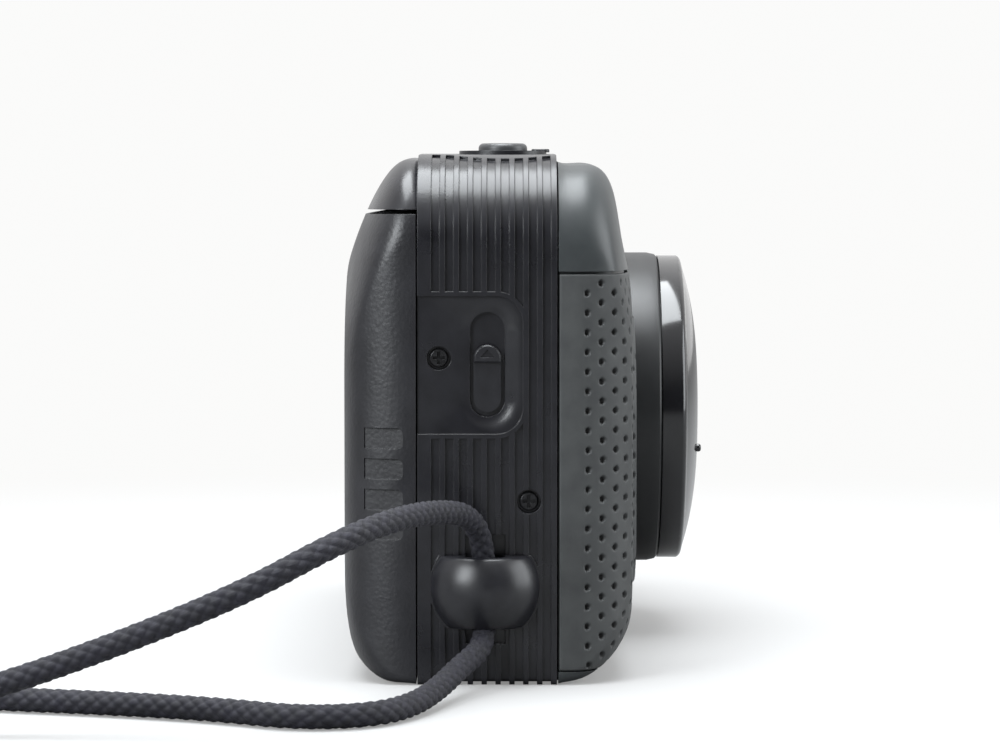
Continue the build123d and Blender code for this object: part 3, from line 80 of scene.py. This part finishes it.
# materials: each finish has its own tones, gloss and grain, all in object coordinates
moulded = {
    "casing_plastic": {
        "dark": (0.006, 0.006, 0.008), "light": (0.011, 0.011, 0.014), "mottle": 3.0,
        "rough": (0.25, 0.35), "grain": 0.20, "depth": 0.012, "edge": 0.16,
    },
    "door_skin": {
        "dark": (0.007, 0.007, 0.009), "light": (0.013, 0.013, 0.016), "mottle": 4.0,
        "rough": (0.34, 0.46), "grain": 0.55, "depth": 0.022, "leather": True,
    },
    "front_skin": {
        "dark": (0.024, 0.028, 0.030), "light": (0.033, 0.038, 0.039), "mottle": 4.0,
        "rough": (0.36, 0.46), "grain": 0.14, "depth": 0.004,
    },
    "grip_rubber": {
        "dark": (0.031, 0.033, 0.034), "light": (0.044, 0.047, 0.047), "mottle": 2.5,
        "rough": (0.52, 0.66), "grain": 0.16, "depth": 0.012,
    },
    "gloss_black": {
        "dark": (0.006, 0.006, 0.007), "light": (0.010, 0.010, 0.012), "mottle": 6.0,
        "rough": (0.10, 0.17), "grain": 0.8, "depth": 0.001, "coat": 0.3,
    },
    "barrel_black": {
        "dark": (0.005, 0.006, 0.007), "light": (0.009, 0.010, 0.011), "mottle": 3.0,
        "rough": (0.36, 0.46), "grain": 0.12, "depth": 0.003,
    },
    "blade_black": {
        "dark": (0.008, 0.008, 0.008), "light": (0.014, 0.014, 0.015), "mottle": 2.0,
        "rough": (0.45, 0.55), "grain": 0.1, "depth": 0.002,
    },
    "chassis_black": {
        "dark": (0.008, 0.008, 0.008), "light": (0.014, 0.014, 0.014), "mottle": 3.0,
        "rough": (0.5, 0.62), "grain": 0.15, "depth": 0.004,
    },
    "plate_black": {
        "dark": (0.006, 0.006, 0.007), "light": (0.010, 0.010, 0.011), "mottle": 3.0,
        "rough": (0.22, 0.32), "grain": 0.2, "depth": 0.001, "coat": 0.2,
    },
    "screw_black": {
        "dark": (0.012, 0.012, 0.013), "light": (0.030, 0.030, 0.032), "mottle": 0.5,
        "rough": (0.25, 0.40), "grain": 0.15, "depth": 0.004, "metal": 0.6,
    },
    "control_grey": {
        "dark": (0.030, 0.031, 0.033), "light": (0.045, 0.046, 0.048), "mottle": 2.0,
        "rough": (0.34, 0.44), "grain": 0.12, "depth": 0.003,
    },
    "control_black": {
        "dark": (0.007, 0.007, 0.009), "light": (0.013, 0.013, 0.016), "mottle": 2.0,
        "rough": (0.28, 0.38), "grain": 0.14, "depth": 0.003,
    },
    "spring_steel": {
        "dark": (0.42, 0.42, 0.43), "light": (0.60, 0.60, 0.61), "mottle": 1.5,
        "rough": (0.22, 0.36), "grain": 0.1, "depth": 0.002, "metal": 1.0,
    },
    "bush_brass": {
        "dark": (0.55, 0.38, 0.14), "light": (0.74, 0.55, 0.24), "mottle": 1.2,
        "rough": (0.24, 0.40), "grain": 0.1, "depth": 0.003, "metal": 1.0,
    },
    "motor_can": {
        "dark": (0.40, 0.40, 0.40), "light": (0.56, 0.56, 0.56), "mottle": 2.5,
        "rough": (0.25, 0.38), "grain": 0.15, "depth": 0.002, "metal": 1.0,
    },
    "board_green": {
        "dark": (0.010, 0.075, 0.030), "light": (0.018, 0.110, 0.045), "mottle": 1.2,
        "rough": (0.22, 0.34), "grain": 0.5, "depth": 0.006, "coat": 0.2,
    },
    "sleeve_blue": {
        "dark": (0.008, 0.012, 0.060), "light": (0.014, 0.020, 0.090), "mottle": 3.0,
        "rough": (0.18, 0.28), "grain": 0.6, "depth": 0.003, "coat": 0.2,
    },
    "battery_jacket": {
        "dark": (0.10, 0.10, 0.11), "light": (0.16, 0.16, 0.17), "mottle": 4.0,
        "rough": (0.20, 0.30), "grain": 0.5, "depth": 0.002, "coat": 0.3, "metal": 0.4,
    },
    "seal_foam": {
        "dark": (0.006, 0.006, 0.006), "light": (0.016, 0.016, 0.016), "mottle": 0.4,
        "rough": (0.85, 0.95), "grain": 0.3, "depth": 0.08,
    },
    "lcd_grey": {
        "dark": (0.30, 0.34, 0.27), "light": (0.36, 0.40, 0.32), "mottle": 5.0,
        "rough": (0.30, 0.36), "grain": 0.3, "depth": 0.001,
    },
    "lamp_red": {
        "dark": (0.32, 0.020, 0.012), "light": (0.45, 0.035, 0.018), "mottle": 1.0,
        "rough": (0.10, 0.18), "grain": 0.5, "depth": 0.002, "coat": 0.5,
    },
    "reflector_mirror": {
        "dark": (0.80, 0.80, 0.80), "light": (0.90, 0.90, 0.90), "mottle": 2.0,
        "rough": (0.05, 0.12), "grain": 0.4, "depth": 0.002, "metal": 1.0,
    },
}


common = {
    "mottleDetail": 5, "glossDetail": 6, "glossSpread": 2.3, "grainDetail": 3, "cellSmoothness": 0.6,
    "edge": 0.10, "edgeSamples": 4, "coatRough": 0.06, "rampEnds": (0.3, 0.7),
}


def newFinish(name):
    finish = bpy.data.materials.new(name)
    finish.use_nodes = True
    tree = finish.node_tree
    return finish, tree.nodes, tree.links, tree.nodes["Principled BSDF"]


def noiseOf(nodes, links, place, size, detail):
    # noise with features of a size in millimetres
    noise = nodes.new("ShaderNodeTexNoise")
    noise.inputs["Scale"].default_value = 1 / (size * mm)
    noise.inputs["Detail"].default_value = detail
    links.new(place, noise.inputs["Vector"])
    return noise.outputs["Fac"]


def rampBetween(nodes, links, source, low, high):
    ramp = nodes.new("ShaderNodeValToRGB")
    for element, end, tone in zip(ramp.color_ramp.elements, common["rampEnds"], (low, high)):
        element.position = end
        element.color = (*tone, 1)
    links.new(source, ramp.inputs["Fac"])
    return ramp.outputs["Color"]


def spreadBetween(nodes, links, source, ends, low, high):
    spread = nodes.new("ShaderNodeMapRange")
    spread.inputs["From Min"].default_value = ends[0]
    spread.inputs["From Max"].default_value = ends[1]
    spread.inputs["To Min"].default_value = low
    spread.inputs["To Max"].default_value = high
    links.new(source, spread.inputs["Value"])
    return spread.outputs["Result"]


def bumpOf(nodes, links, shader, height, depth):
    # a bump as deep as so many millimetres
    bump = nodes.new("ShaderNodeBump")
    bump.inputs["Distance"].default_value = depth * mm
    links.new(height, bump.inputs["Height"])
    links.new(bump.outputs["Normal"], shader.inputs["Normal"])
    return bump


def mouldedFinish(name, s):
    # mottled tone, uneven gloss, fine grain, and a leather grain on the film door
    finish, nodes, links, shader = newFinish(name)
    place = nodes.new("ShaderNodeTexCoord").outputs["Object"]
    mottle = noiseOf(nodes, links, place, s["mottle"], common["mottleDetail"])
    links.new(rampBetween(nodes, links, mottle, s["dark"], s["light"]), shader.inputs["Base Color"])
    gloss = noiseOf(nodes, links, place, common["glossSpread"] * s["mottle"], common["glossDetail"])
    rough = spreadBetween(nodes, links, gloss, common["rampEnds"], *s["rough"])
    links.new(rough, shader.inputs["Roughness"])
    height = noiseOf(nodes, links, place, s["grain"], common["grainDetail"])
    if s.get("leather"):
        cells = nodes.new("ShaderNodeTexVoronoi")
        cells.feature = "SMOOTH_F1"
        cells.inputs["Scale"].default_value = 1 / (s["grain"] * mm)
        cells.inputs["Smoothness"].default_value = common["cellSmoothness"]
        links.new(place, cells.inputs["Vector"])
        both = nodes.new("ShaderNodeMath")
        both.operation = "SUBTRACT"
        links.new(height, both.inputs[0])
        links.new(cells.outputs["Distance"], both.inputs[1])
        height = both.outputs["Value"]
    bump = bumpOf(nodes, links, shader, height, s["depth"])
    edge = nodes.new("ShaderNodeBevel")  # edges as rounded as a mould leaves them
    edge.samples = common["edgeSamples"]
    edge.inputs["Radius"].default_value = s.get("edge", common["edge"]) * mm
    links.new(edge.outputs["Normal"], bump.inputs["Normal"])
    shader.inputs["Metallic"].default_value = s.get("metal", 0.0)
    shader.inputs["Coat Weight"].default_value = s.get("coat", 0.0)
    shader.inputs["Coat Roughness"].default_value = common["coatRough"]
    return finish


# glass and coated glass, with a faint unevenness in the coating's tint
panes = {
    "lens_glass": {"dark": (0.30, 0.24, 0.55), "light": (0.42, 0.50, 0.70), "rough": 0.02, "clear": 0.85},
    "window_glass": {"dark": (0.05, 0.05, 0.06), "light": (0.09, 0.09, 0.11), "rough": 0.03, "clear": 0.55},
    "flash_diffuser": {
        "dark": (0.78, 0.78, 0.75), "light": (0.90, 0.90, 0.87), "rough": 0.18, "clear": 0.55,
        "ribPitch": 2.6, "ribDepth": 0.12,
    },
    "tube_glass": {"dark": (0.85, 0.85, 0.85), "light": (0.95, 0.95, 0.95), "rough": 0.04, "clear": 0.8},
}
coating = {"patch": 6.0, "detail": 2, "index": 1.5}


def paneFinish(name, s):
    finish, nodes, links, shader = newFinish(name)
    place = nodes.new("ShaderNodeTexCoord").outputs["Object"]
    tint = noiseOf(nodes, links, place, coating["patch"], coating["detail"])
    links.new(rampBetween(nodes, links, tint, s["dark"], s["light"]), shader.inputs["Base Color"])
    if "ribPitch" in s:
        ribs = nodes.new("ShaderNodeTexWave")
        ribs.bands_direction = "X"
        ribs.inputs["Scale"].default_value = 1 / (s["ribPitch"] * mm)
        links.new(place, ribs.inputs["Vector"])
        bumpOf(nodes, links, shader, ribs.outputs["Fac"], s["ribDepth"])
    shader.inputs["Roughness"].default_value = s["rough"]
    shader.inputs["Transmission Weight"].default_value = s["clear"]
    shader.inputs["IOR"].default_value = coating["index"]
    return finish


finishes = {name: mouldedFinish(name, s) for name, s in moulded.items()}
finishes.update({name: paneFinish(name, s) for name, s in panes.items()})


# wrist cord: one loop from the lug, up and back, round behind the camera and in from below
cordSet = {
    "diameter": 3.2, "length": 317.9, "columns": 6, "pitch": 2.0, "relief": 0.36,
    "around": 64, "step": 0.22, "smoothness": 24, "strandWidth": 1.94, "dip": 0.94, "crownShare": 0.55,
}
cordRoute = [
    (-63.5, 0.8, 13.4),
    (-63.5, 0.85, 18.7),
    (-68.3, 2.7, 23.6),
    (-80.0, 6.9, 25.2),
    (-95.2, 12.6, 25.4),
    (-107.0, 19.5, 23.4),
    (-110.0, 30.0, 17.9),
    (-108.0, 46.0, 11.2),
    (-108.0, 62.0, 5.6),
    (-107.5, 78.0, 1.75),
    (-105.5, 94.0, 1.65),
    (-100.0, 108.0, 1.65),
    (-89.5, 114.9, 1.65),
    (-79.0, 111.0, 1.65),
    (-75.5, 98.0, 1.65),
    (-79.5, 83.0, 1.65),
    (-86.0, 67.0, 1.65),
    (-90.5, 50.0, 1.65),
    (-96.0, 35.0, 1.65),
    (-103.6, 23.8, 1.65),
    (-101.2, 14.5, 1.65),
    (-92.0, 9.6, 1.65),
    (-82.0, 6.6, 2.4),
    (-73.5, 4.0, 4.0),
    (-66.4, 1.4, 5.2),
    (-63.5, 0.8, 7.9),
    (-63.5, 0.8, 13.3),
]


def cordLine():
    # one smooth spline through the route, read back as points an even step apart
    shape = bpy.data.curves.new("cordRoute", "CURVE")
    shape.dimensions = "3D"
    shape.resolution_u = cordSet["smoothness"]
    spline = shape.splines.new("NURBS")
    spline.points.add(len(cordRoute) - 1)
    for point, spot in zip(spline.points, cordRoute):
        point.co = (*[v * mm for v in spot], 1)
    spline.order_u = 3
    spline.use_endpoint_u = True
    carrier = bpy.data.objects.new("cordRoute", shape)
    line = bpy.data.meshes.new_from_object(carrier)
    spots = [v.co.copy() for v in line.vertices]
    bpy.data.objects.remove(carrier)
    bpy.data.meshes.remove(line)
    step = cordSet["step"] * mm
    even = [spots[0]]
    spare = 0.0
    for here, there in zip(spots, spots[1:]):
        run = (there - here).length
        while spare + run >= step and run > 0:
            share = (step - spare) / run
            here = here.lerp(there, share)
            run = (there - here).length
            even.append(here.copy())
            spare = 0.0
        spare += run
    return spots, even


def braidHeight(turn, along):
    # how far the top strand stands at a place on the cord, and that strand's direction
    a = turn * cordSet["columns"] + along / cordSet["pitch"]
    b = turn * cordSet["columns"] - along / cordSet["pitch"]
    acrossA, acrossB = a - math.floor(a) - 0.5, b - math.floor(b) - 0.5
    upper = (math.floor(a) + math.floor(b)) % 2 == 0
    across, lengthwise = (acrossA, acrossB) if upper else (acrossB, acrossA)
    crown = math.sqrt(max(0.0, 1 - (cordSet["strandWidth"] * across) ** 2))
    share = cordSet["crownShare"]
    height = crown * (1 - share + share * math.cos(math.pi * lengthwise * cordSet["dip"]))
    return height, across, lengthwise, upper


def makeBraid(name, finish):
    # rings of points along the line, raised by the braid, with each strand's own place kept as UV
    lowerSheet, sameStrand = 3, 0.6
    spots, even = cordLine()
    around = cordSet["around"]
    low = (cordSet["diameter"] / 2 - cordSet["relief"]) * mm
    build = bmesh.new()
    weave = build.loops.layers.uv.new("weave")
    rings, marks = [], []
    side = None
    for index, spot in enumerate(even):
        ahead = (even[min(index + 1, len(even) - 1)] - even[max(index - 1, 0)]).normalized()
        if side is None:
            side = ahead.orthogonal().normalized()
        side = (side - ahead * side.dot(ahead)).normalized()
        up = ahead.cross(side)
        along = index * cordSet["step"]
        ring, mark = [], []
        for place in range(around):
            turn = place / around
            height, across, lengthwise, upper = braidHeight(turn, along)
            reach = low + cordSet["relief"] * mm * height
            angle = 2 * math.pi * turn
            ring.append(build.verts.new(spot + reach * (math.cos(angle) * side + math.sin(angle) * up)))
            mark.append((across + (0 if upper else lowerSheet), lengthwise))
        rings.append(ring)
        marks.append(mark)
    for before, after, markBefore, markAfter in zip(rings, rings[1:], marks, marks[1:]):
        for place in range(around):
            then = (place + 1) % around
            face = build.faces.new((before[place], before[then], after[then], after[place]))
            centre = markBefore[place]
            places = (markBefore[place], markBefore[then], markAfter[then], markAfter[place])
            for loop, spotUv in zip(face.loops, places):
                close = max(abs(spotUv[0] - centre[0]), abs(spotUv[1] - centre[1])) < sameStrand
                loop[weave].uv = spotUv if close else centre
    for ring, flip in ((rings[0], True), (rings[-1], False)):
        build.faces.new(ring[::-1] if flip else ring)
    shape = bpy.data.meshes.new(name)
    build.normal_update()
    build.to_mesh(shape)
    build.free()
    shape.shade_smooth()
    piece = bpy.data.objects.new(name, shape)
    bpy.context.collection.objects.link(piece)
    piece.data.materials.append(finish)
    return piece, spots


yarnSet = {
    "dark": (0.0025, 0.0025, 0.006), "light": (0.008, 0.0075, 0.016), "patch": 1.6, "patchDetail": 5,
    "lines": 44.0, "lineShare": 0.3, "fuzz": 0.12, "fuzzDetail": 4, "depth": 0.05,
    "rough": 0.72, "sheen": 0.03, "sheenRough": 0.4,
}


def braidFinish(name, s):
    # yarn lines along each strand, soft fuzz, and a bluish tone that varies a little
    finish, nodes, links, shader = newFinish(name)
    weave = nodes.new("ShaderNodeUVMap")
    weave.uv_map = "weave"
    place = nodes.new("ShaderNodeTexCoord").outputs["Object"]
    split = nodes.new("ShaderNodeSeparateXYZ")
    links.new(weave.outputs["UV"], split.inputs["Vector"])
    times = nodes.new("ShaderNodeMath")
    times.operation = "MULTIPLY"
    times.inputs[1].default_value = s["lines"]
    links.new(split.outputs["X"], times.inputs[0])
    yarn = nodes.new("ShaderNodeMath")
    yarn.operation = "SINE"
    links.new(times.outputs["Value"], yarn.inputs[0])
    joined = nodes.new("ShaderNodeMath")
    joined.operation = "MULTIPLY_ADD"
    joined.inputs[1].default_value = s["lineShare"]
    links.new(yarn.outputs["Value"], joined.inputs[0])
    links.new(noiseOf(nodes, links, place, s["fuzz"], s["fuzzDetail"]), joined.inputs[2])
    bumpOf(nodes, links, shader, joined.outputs["Value"], s["depth"])
    tone = noiseOf(nodes, links, place, s["patch"], s["patchDetail"])
    links.new(rampBetween(nodes, links, tone, s["dark"], s["light"]), shader.inputs["Base Color"])
    shader.inputs["Roughness"].default_value = s["rough"]
    shader.inputs["Sheen Weight"].default_value = s["sheen"]
    shader.inputs["Sheen Roughness"].default_value = s["sheenRough"]
    return finish


wristCord, cordSpots = makeBraid("wristCordBraid", braidFinish("cord_braid", yarnSet))
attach(wristCord, "camera_body")
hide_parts("strap_cord")
print("cord braided")


# CAD pieces with curved faces are shown by merged copies, smooth over their curves and crisp at their edges
mergeSet = {"weld": 0.002, "angle": 28.0}


def mergedCopy(node, name):
    shape = frame["nodes"][node].data.copy()
    piece = bpy.data.objects.new(name, shape)
    bpy.context.collection.objects.link(piece)
    pick(piece)
    bpy.ops.object.mode_set(mode="EDIT")
    bpy.ops.mesh.select_all(action="SELECT")
    bpy.ops.mesh.remove_doubles(threshold=mergeSet["weld"] * mm)
    bpy.ops.object.mode_set(mode="OBJECT")
    bpy.ops.mesh.customdata_custom_splitnormals_clear()
    bpy.ops.object.shade_smooth_by_angle(angle=math.radians(mergeSet["angle"]))
    piece.data.materials.clear()
    piece.data.materials.append(finishes[slotOf[node]])
    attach(piece, bodyOf[node])
    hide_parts(node)
    return piece


smoothNodes = [
    "main_body", "rear_door", "front_shell", "strap_lug", "lens_collar", "lens_guide_tube",
    "zoom_barrel_middle", "zoom_barrel_front", "front_bezel", "zoom_lever", "shutter_button",
    "flash_mode_button", "timer_button", "date_button", "power_button", "latch_slider", "front_fascia",
    "viewfinder_window", "flash_window", "focus_windows", "light_sensor", "self_timer_lamp", "front_lens",
    "rear_lens", "viewfinder_eyepiece", "film_chassis", "take_up_spool", "rewind_fork", "case_screws",
    "tripod_bush", "rewind_button", "battery", "flash_capacitor", "wind_motor", "zoom_motor", "lcd_window",
    "battery_hatch", "flash_reflector", "flash_tube",
]
for node in smoothNodes:
    words = node.split("_")
    mergedCopy(node, words[0] + "".join(word.title() for word in words[1:]) + "Finished")
for node, carried in frame["nodes"].items():
    if node not in smoothNodes and node != "strap_cord":
        carried.data.materials.clear()
        carried.data.materials.append(finishes[slotOf[node]])
print("casing dressed")


# rubber grip: a fine sheet laid on the grip's outer face, with staggered dimples pressed in
gripSet = {
    "spine": (-47.0, -8.0), "seam": -9.1, "low": 1.9, "high": 55.6,
    "frontEdge": (-38.0, -35.5, -38.5), "bend": 30.0, "column": 0.17, "rowsEach": 16,
    "columnPitch": 2.15, "rowPitch": 2.65, "firstColumn": 3.95, "firstRow": 2.65,
    "dimple": 0.47, "depth": 0.55, "steepness": 4, "edge": 0.25, "turnedIn": 0.6,
    # dust: the near-black of the painted shade in the dimples
    "dust": (0.004, 0.004, 0.004),
}
# how far in from the seam, front edge, foot and head the dimples keep
plainStrip = {"seam": 0.3, "front": 0.9, "foot": 0.4, "head": 0.8}
# how the grip's face is felt for: reach of the rays, angles searched in degrees, and how finely
feeler = {"reach": 40.0, "front": (60, 160), "seam": (30, -5), "halvings": 30, "steps": 600, "clear": 0.02}


def gripFace():
    cad = frame["nodes"]["rubber_grip"].data
    return BVHTree.FromPolygons([v.co[:] for v in cad.vertices], [p.vertices[:] for p in cad.polygons])


def touchGrip(surface, angle, height):
    # where a level ray from outside meets the grip, the angle counted from the side round to the front
    out = Vector((-math.cos(angle), -math.sin(angle), 0))
    spine = Vector((*gripSet["spine"], 0)) * mm
    start = spine + out * feeler["reach"] * mm + Vector((0, 0, height * mm))
    return surface.ray_cast(start, -out)[:2]


def lastOnGrip(surface, height, span, isPast):
    # halves the span of angles and keeps the end that is still on the grip
    inside, outside = (math.radians(end) for end in span)
    for halving in range(feeler["halvings"]):
        middle = (inside + outside) / 2
        spot = touchGrip(surface, middle, height)[0]
        if spot is None or isPast(spot):
            outside = middle
        else:
            inside = middle
    return inside


def frontAngle(surface, height):
    # the angle at which the grip's slanting front edge is met
    low, middle, high = gripSet["frontEdge"]
    share = (height - gripSet["bend"]) / (gripSet["high"] - gripSet["bend"])
    edgeX = middle + (high - middle) * share if share > 0 else middle + (low - middle) * -share
    return lastOnGrip(surface, height, feeler["front"], lambda spot: spot.x / mm > edgeX - feeler["clear"])


def seamAngle(surface, height):
    seam = gripSet["seam"] - feeler["clear"]
    return lastOnGrip(surface, height, feeler["seam"], lambda spot: spot.y / mm > seam)


def gripColumns(surface):
    # shares of the way round that give even columns at the middle of the grip, and the way's length
    middle = (gripSet["low"] + gripSet["high"]) / 2
    first, last = seamAngle(surface, middle), frontAngle(surface, middle)
    steps = feeler["steps"]
    walk = [first + (last - first) * step / steps for step in range(steps + 1)]
    spots = [touchGrip(surface, angle, middle)[0] for angle in walk]
    lengths = [0.0]
    for here, there in zip(spots, spots[1:]):
        lengths.append(lengths[-1] + (there - here).length / mm)
    columns = round(lengths[-1] / gripSet["column"])
    shares = []
    for column in range(columns + 1):
        wanted = lengths[-1] * column / columns
        index = next((i for i, d in enumerate(lengths) if d >= wanted - 1e-9), steps)
        shares.append((walk[index] - first) / (last - first))
    return shares, lengths[-1]


def dimpleShare(around, height, length):
    # how far a place is pressed in, as a share of a dimple's depth
    s = gripSet
    number = round((around - s["firstColumn"]) / s["columnPitch"])
    off = around - s["firstColumn"] - number * s["columnPitch"]
    lift = s["rowPitch"] / 2 if number % 2 else 0
    step = round((height - s["firstRow"] - lift) / s["rowPitch"])
    rise = height - s["firstRow"] - lift - step * s["rowPitch"]
    away = math.hypot(off, rise)
    inside = s["firstColumn"] - plainStrip["seam"] < around < length - plainStrip["front"]
    inside = inside and s["firstRow"] - plainStrip["foot"] < height < s["high"] - plainStrip["head"]
    return 1 - (away / s["dimple"]) ** s["steepness"] if inside and away < s["dimple"] else 0.0


def gripSkin():
    s = gripSet
    surface = gripFace()
    shares, length = gripColumns(surface)
    tall = s["high"] - s["low"] - 2 * feeler["clear"]
    rows = round(tall / (s["rowPitch"] / s["rowsEach"]))
    columns = len(shares) - 1
    build = bmesh.new()
    shade = build.verts.layers.float.new("sunk")
    verts = []
    for row in range(rows + 1):
        height = s["low"] + feeler["clear"] + tall * row / rows
        start, end = seamAngle(surface, height), frontAngle(surface, height)
        made = []
        for column, share in enumerate(shares):
            spot, normal = touchGrip(surface, start + (end - start) * share, height)
            around = length * column / columns
            sunk = dimpleShare(around, height, length)
            sink = s["depth"] * sunk
            border = min(around, length - around, height - s["low"], s["high"] - height)
            if border < s["edge"]:
                sink += s["edge"] * (1 - math.sqrt(max(0.0, 1 - (1 - border / s["edge"]) ** 2)))
            made.append(build.verts.new(spot - normal * sink * mm))
            made[-1][shade] = sunk
        verts.append(made)
    for below, above in zip(verts, verts[1:]):
        for column in range(columns):
            build.faces.new((below[column], below[column + 1], above[column + 1], above[column]))
    rim = [e for e in build.edges if e.is_boundary]
    turned = bmesh.ops.extrude_edge_only(build, edges=rim)
    for vert in [g for g in turned["geom"] if isinstance(g, bmesh.types.BMVert)]:
        normal = surface.find_nearest(vert.co)[1]
        vert.co -= normal * s["turnedIn"] * mm
    bmesh.ops.recalc_face_normals(build, faces=build.faces[:])
    shape = bpy.data.meshes.new("rubberGripSkin")
    build.to_mesh(shape)
    build.free()
    shape.shade_smooth()
    piece = bpy.data.objects.new("rubberGripSkin", shape)
    bpy.context.collection.objects.link(piece)
    piece.data.materials.append(finishes["grip_rubber"])
    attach(piece, "camera_body")
    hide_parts("rubber_grip")


def darkenDimples(finish):
    # painted shade: the dimples' base colour is darkened towards near-black by the sheet's own sunk attribute
    nodes, links = finish.node_tree.nodes, finish.node_tree.links
    shader = nodes["Principled BSDF"]
    sunk = nodes.new("ShaderNodeAttribute")
    sunk.attribute_name = "sunk"
    mix = nodes.new("ShaderNodeMix")
    mix.data_type = "RGBA"
    links.new(sunk.outputs["Fac"], mix.inputs[0])
    links.new(shader.inputs["Base Color"].links[0].from_socket, mix.inputs[6])
    # painted shade mixed into the dimples' base colour
    mix.inputs[7].default_value = (*gripSet["dust"], 1)
    links.new(mix.outputs[2], shader.inputs["Base Color"])


gripSkin()
darkenDimples(finishes["grip_rubber"])
print("grip pressed")

# plain pale floor and soft studio light: bright from above and behind, dim towards the camera
studio = {
    "floor": 3.0, "fade": (0.10, 0.32), "plainFloor": 0.25, "pale": (0.962, 0.962, 0.955),
    "paper": 0.41, "bounce": 0.20, "paperRough": 0.7, "cool": (0.93, 0.97, 1.0),
    "front": 0.05, "back": 0.95, "sides": (-0.6, 0.6), "above": 0.66, "heights": (0.25, 0.85),
    "aim": (-0.03, -0.005, 0.035),
    "lamps": [
        {"at": (-0.05, 0.05, 0.80), "size": 0.6, "power": 12.5},
        {"at": (-0.16, -0.80, 0.30), "size": 0.6, "power": 5.0},
        {"at": (-0.62, 0.55, 0.35), "size": 0.40, "power": 7.0},
    ],
}


def paleFloor():
    # lit paper round the camera, which fades into the background's own white further out
    clearSelection()
    bpy.ops.mesh.primitive_plane_add(size=studio["floor"] * 2)
    floor = bpy.context.object
    floor.name = "studioFloor"
    paper, nodes, links, shader = newFinish("floorPaper")
    path = nodes.new("ShaderNodeLightPath")
    tone = nodes.new("ShaderNodeMix")  # paper to the eye, darker card to the light that it throws back
    tone.data_type = "RGBA"
    tone.inputs[6].default_value = (*[studio["bounce"]] * 3, 1)
    tone.inputs[7].default_value = (*[studio["paper"]] * 3, 1)
    links.new(path.outputs["Is Camera Ray"], tone.inputs[0])
    links.new(tone.outputs[2], shader.inputs["Base Color"])
    shader.inputs["Roughness"].default_value = studio["paperRough"]
    seen = nodes.new("ShaderNodeEmission")
    seen.inputs["Color"].default_value = (*studio["pale"], 1)
    away = nodes.new("ShaderNodeVectorMath")
    away.operation = "LENGTH"
    links.new(nodes.new("ShaderNodeTexCoord").outputs["Object"], away.inputs[0])
    fade = spreadBetween(nodes, links, away.outputs["Value"], studio["fade"], studio["plainFloor"], 1.0)
    fade.node.interpolation_type = "SMOOTHSTEP"
    part = nodes.new("ShaderNodeMath")
    part.operation = "MULTIPLY"
    links.new(fade, part.inputs[1])
    links.new(path.outputs["Is Camera Ray"], part.inputs[0])
    mix = nodes.new("ShaderNodeMixShader")
    links.new(part.outputs["Value"], mix.inputs["Fac"])
    links.new(shader.outputs["BSDF"], mix.inputs[1])
    links.new(seen.outputs["Emission"], mix.inputs[2])
    links.new(mix.outputs["Shader"], nodes["Material Output"].inputs["Surface"])
    floor.data.materials.append(paper)


def studioAir():
    # light by direction, dim on the camera's side and bright behind and above, with plain white to the eye
    world = bpy.data.worlds.new("studioAir")
    bpy.context.scene.world = world
    world.use_nodes = True
    nodes, links = world.node_tree.nodes, world.node_tree.links
    air = nodes["Background"]
    air.inputs["Color"].default_value = (1, 1, 1, 1)
    split = nodes.new("ShaderNodeSeparateXYZ")
    links.new(nodes.new("ShaderNodeTexCoord").outputs["Generated"], split.inputs["Vector"])
    total = nodes.new("ShaderNodeMath")
    behind = spreadBetween(nodes, links, split.outputs["X"], studio["sides"], studio["front"], studio["back"])
    overhead = spreadBetween(nodes, links, split.outputs["Z"], studio["heights"], 0.0, studio["above"])
    links.new(behind, total.inputs[0])
    links.new(overhead, total.inputs[1])
    links.new(total.outputs["Value"], air.inputs["Strength"])
    white = nodes.new("ShaderNodeBackground")
    white.inputs["Color"].default_value = (*studio["pale"], 1)
    mix = nodes.new("ShaderNodeMixShader")
    links.new(nodes.new("ShaderNodeLightPath").outputs["Is Camera Ray"], mix.inputs["Fac"])
    links.new(air.outputs["Background"], mix.inputs[1])
    links.new(white.outputs["Background"], mix.inputs[2])
    links.new(mix.outputs["Shader"], nodes["World Output"].inputs["Surface"])


def softBoxes():
    clearSelection()
    for number, lamp in enumerate(studio["lamps"]):
        bpy.ops.object.light_add(type="AREA", location=lamp["at"])
        light = bpy.context.object
        light.name = f"softBox{number}"
        light.data.size = lamp["size"]
        light.data.energy = lamp["power"]
        light.data.color = studio["cool"]
        aim = Vector(studio["aim"]) - light.location
        light.rotation_euler = aim.to_track_quat("-Z", "Y").to_euler()


paleFloor()
studioAir()
softBoxes()
bpy.context.scene.view_settings.view_transform = "Standard"
print("studio lit")
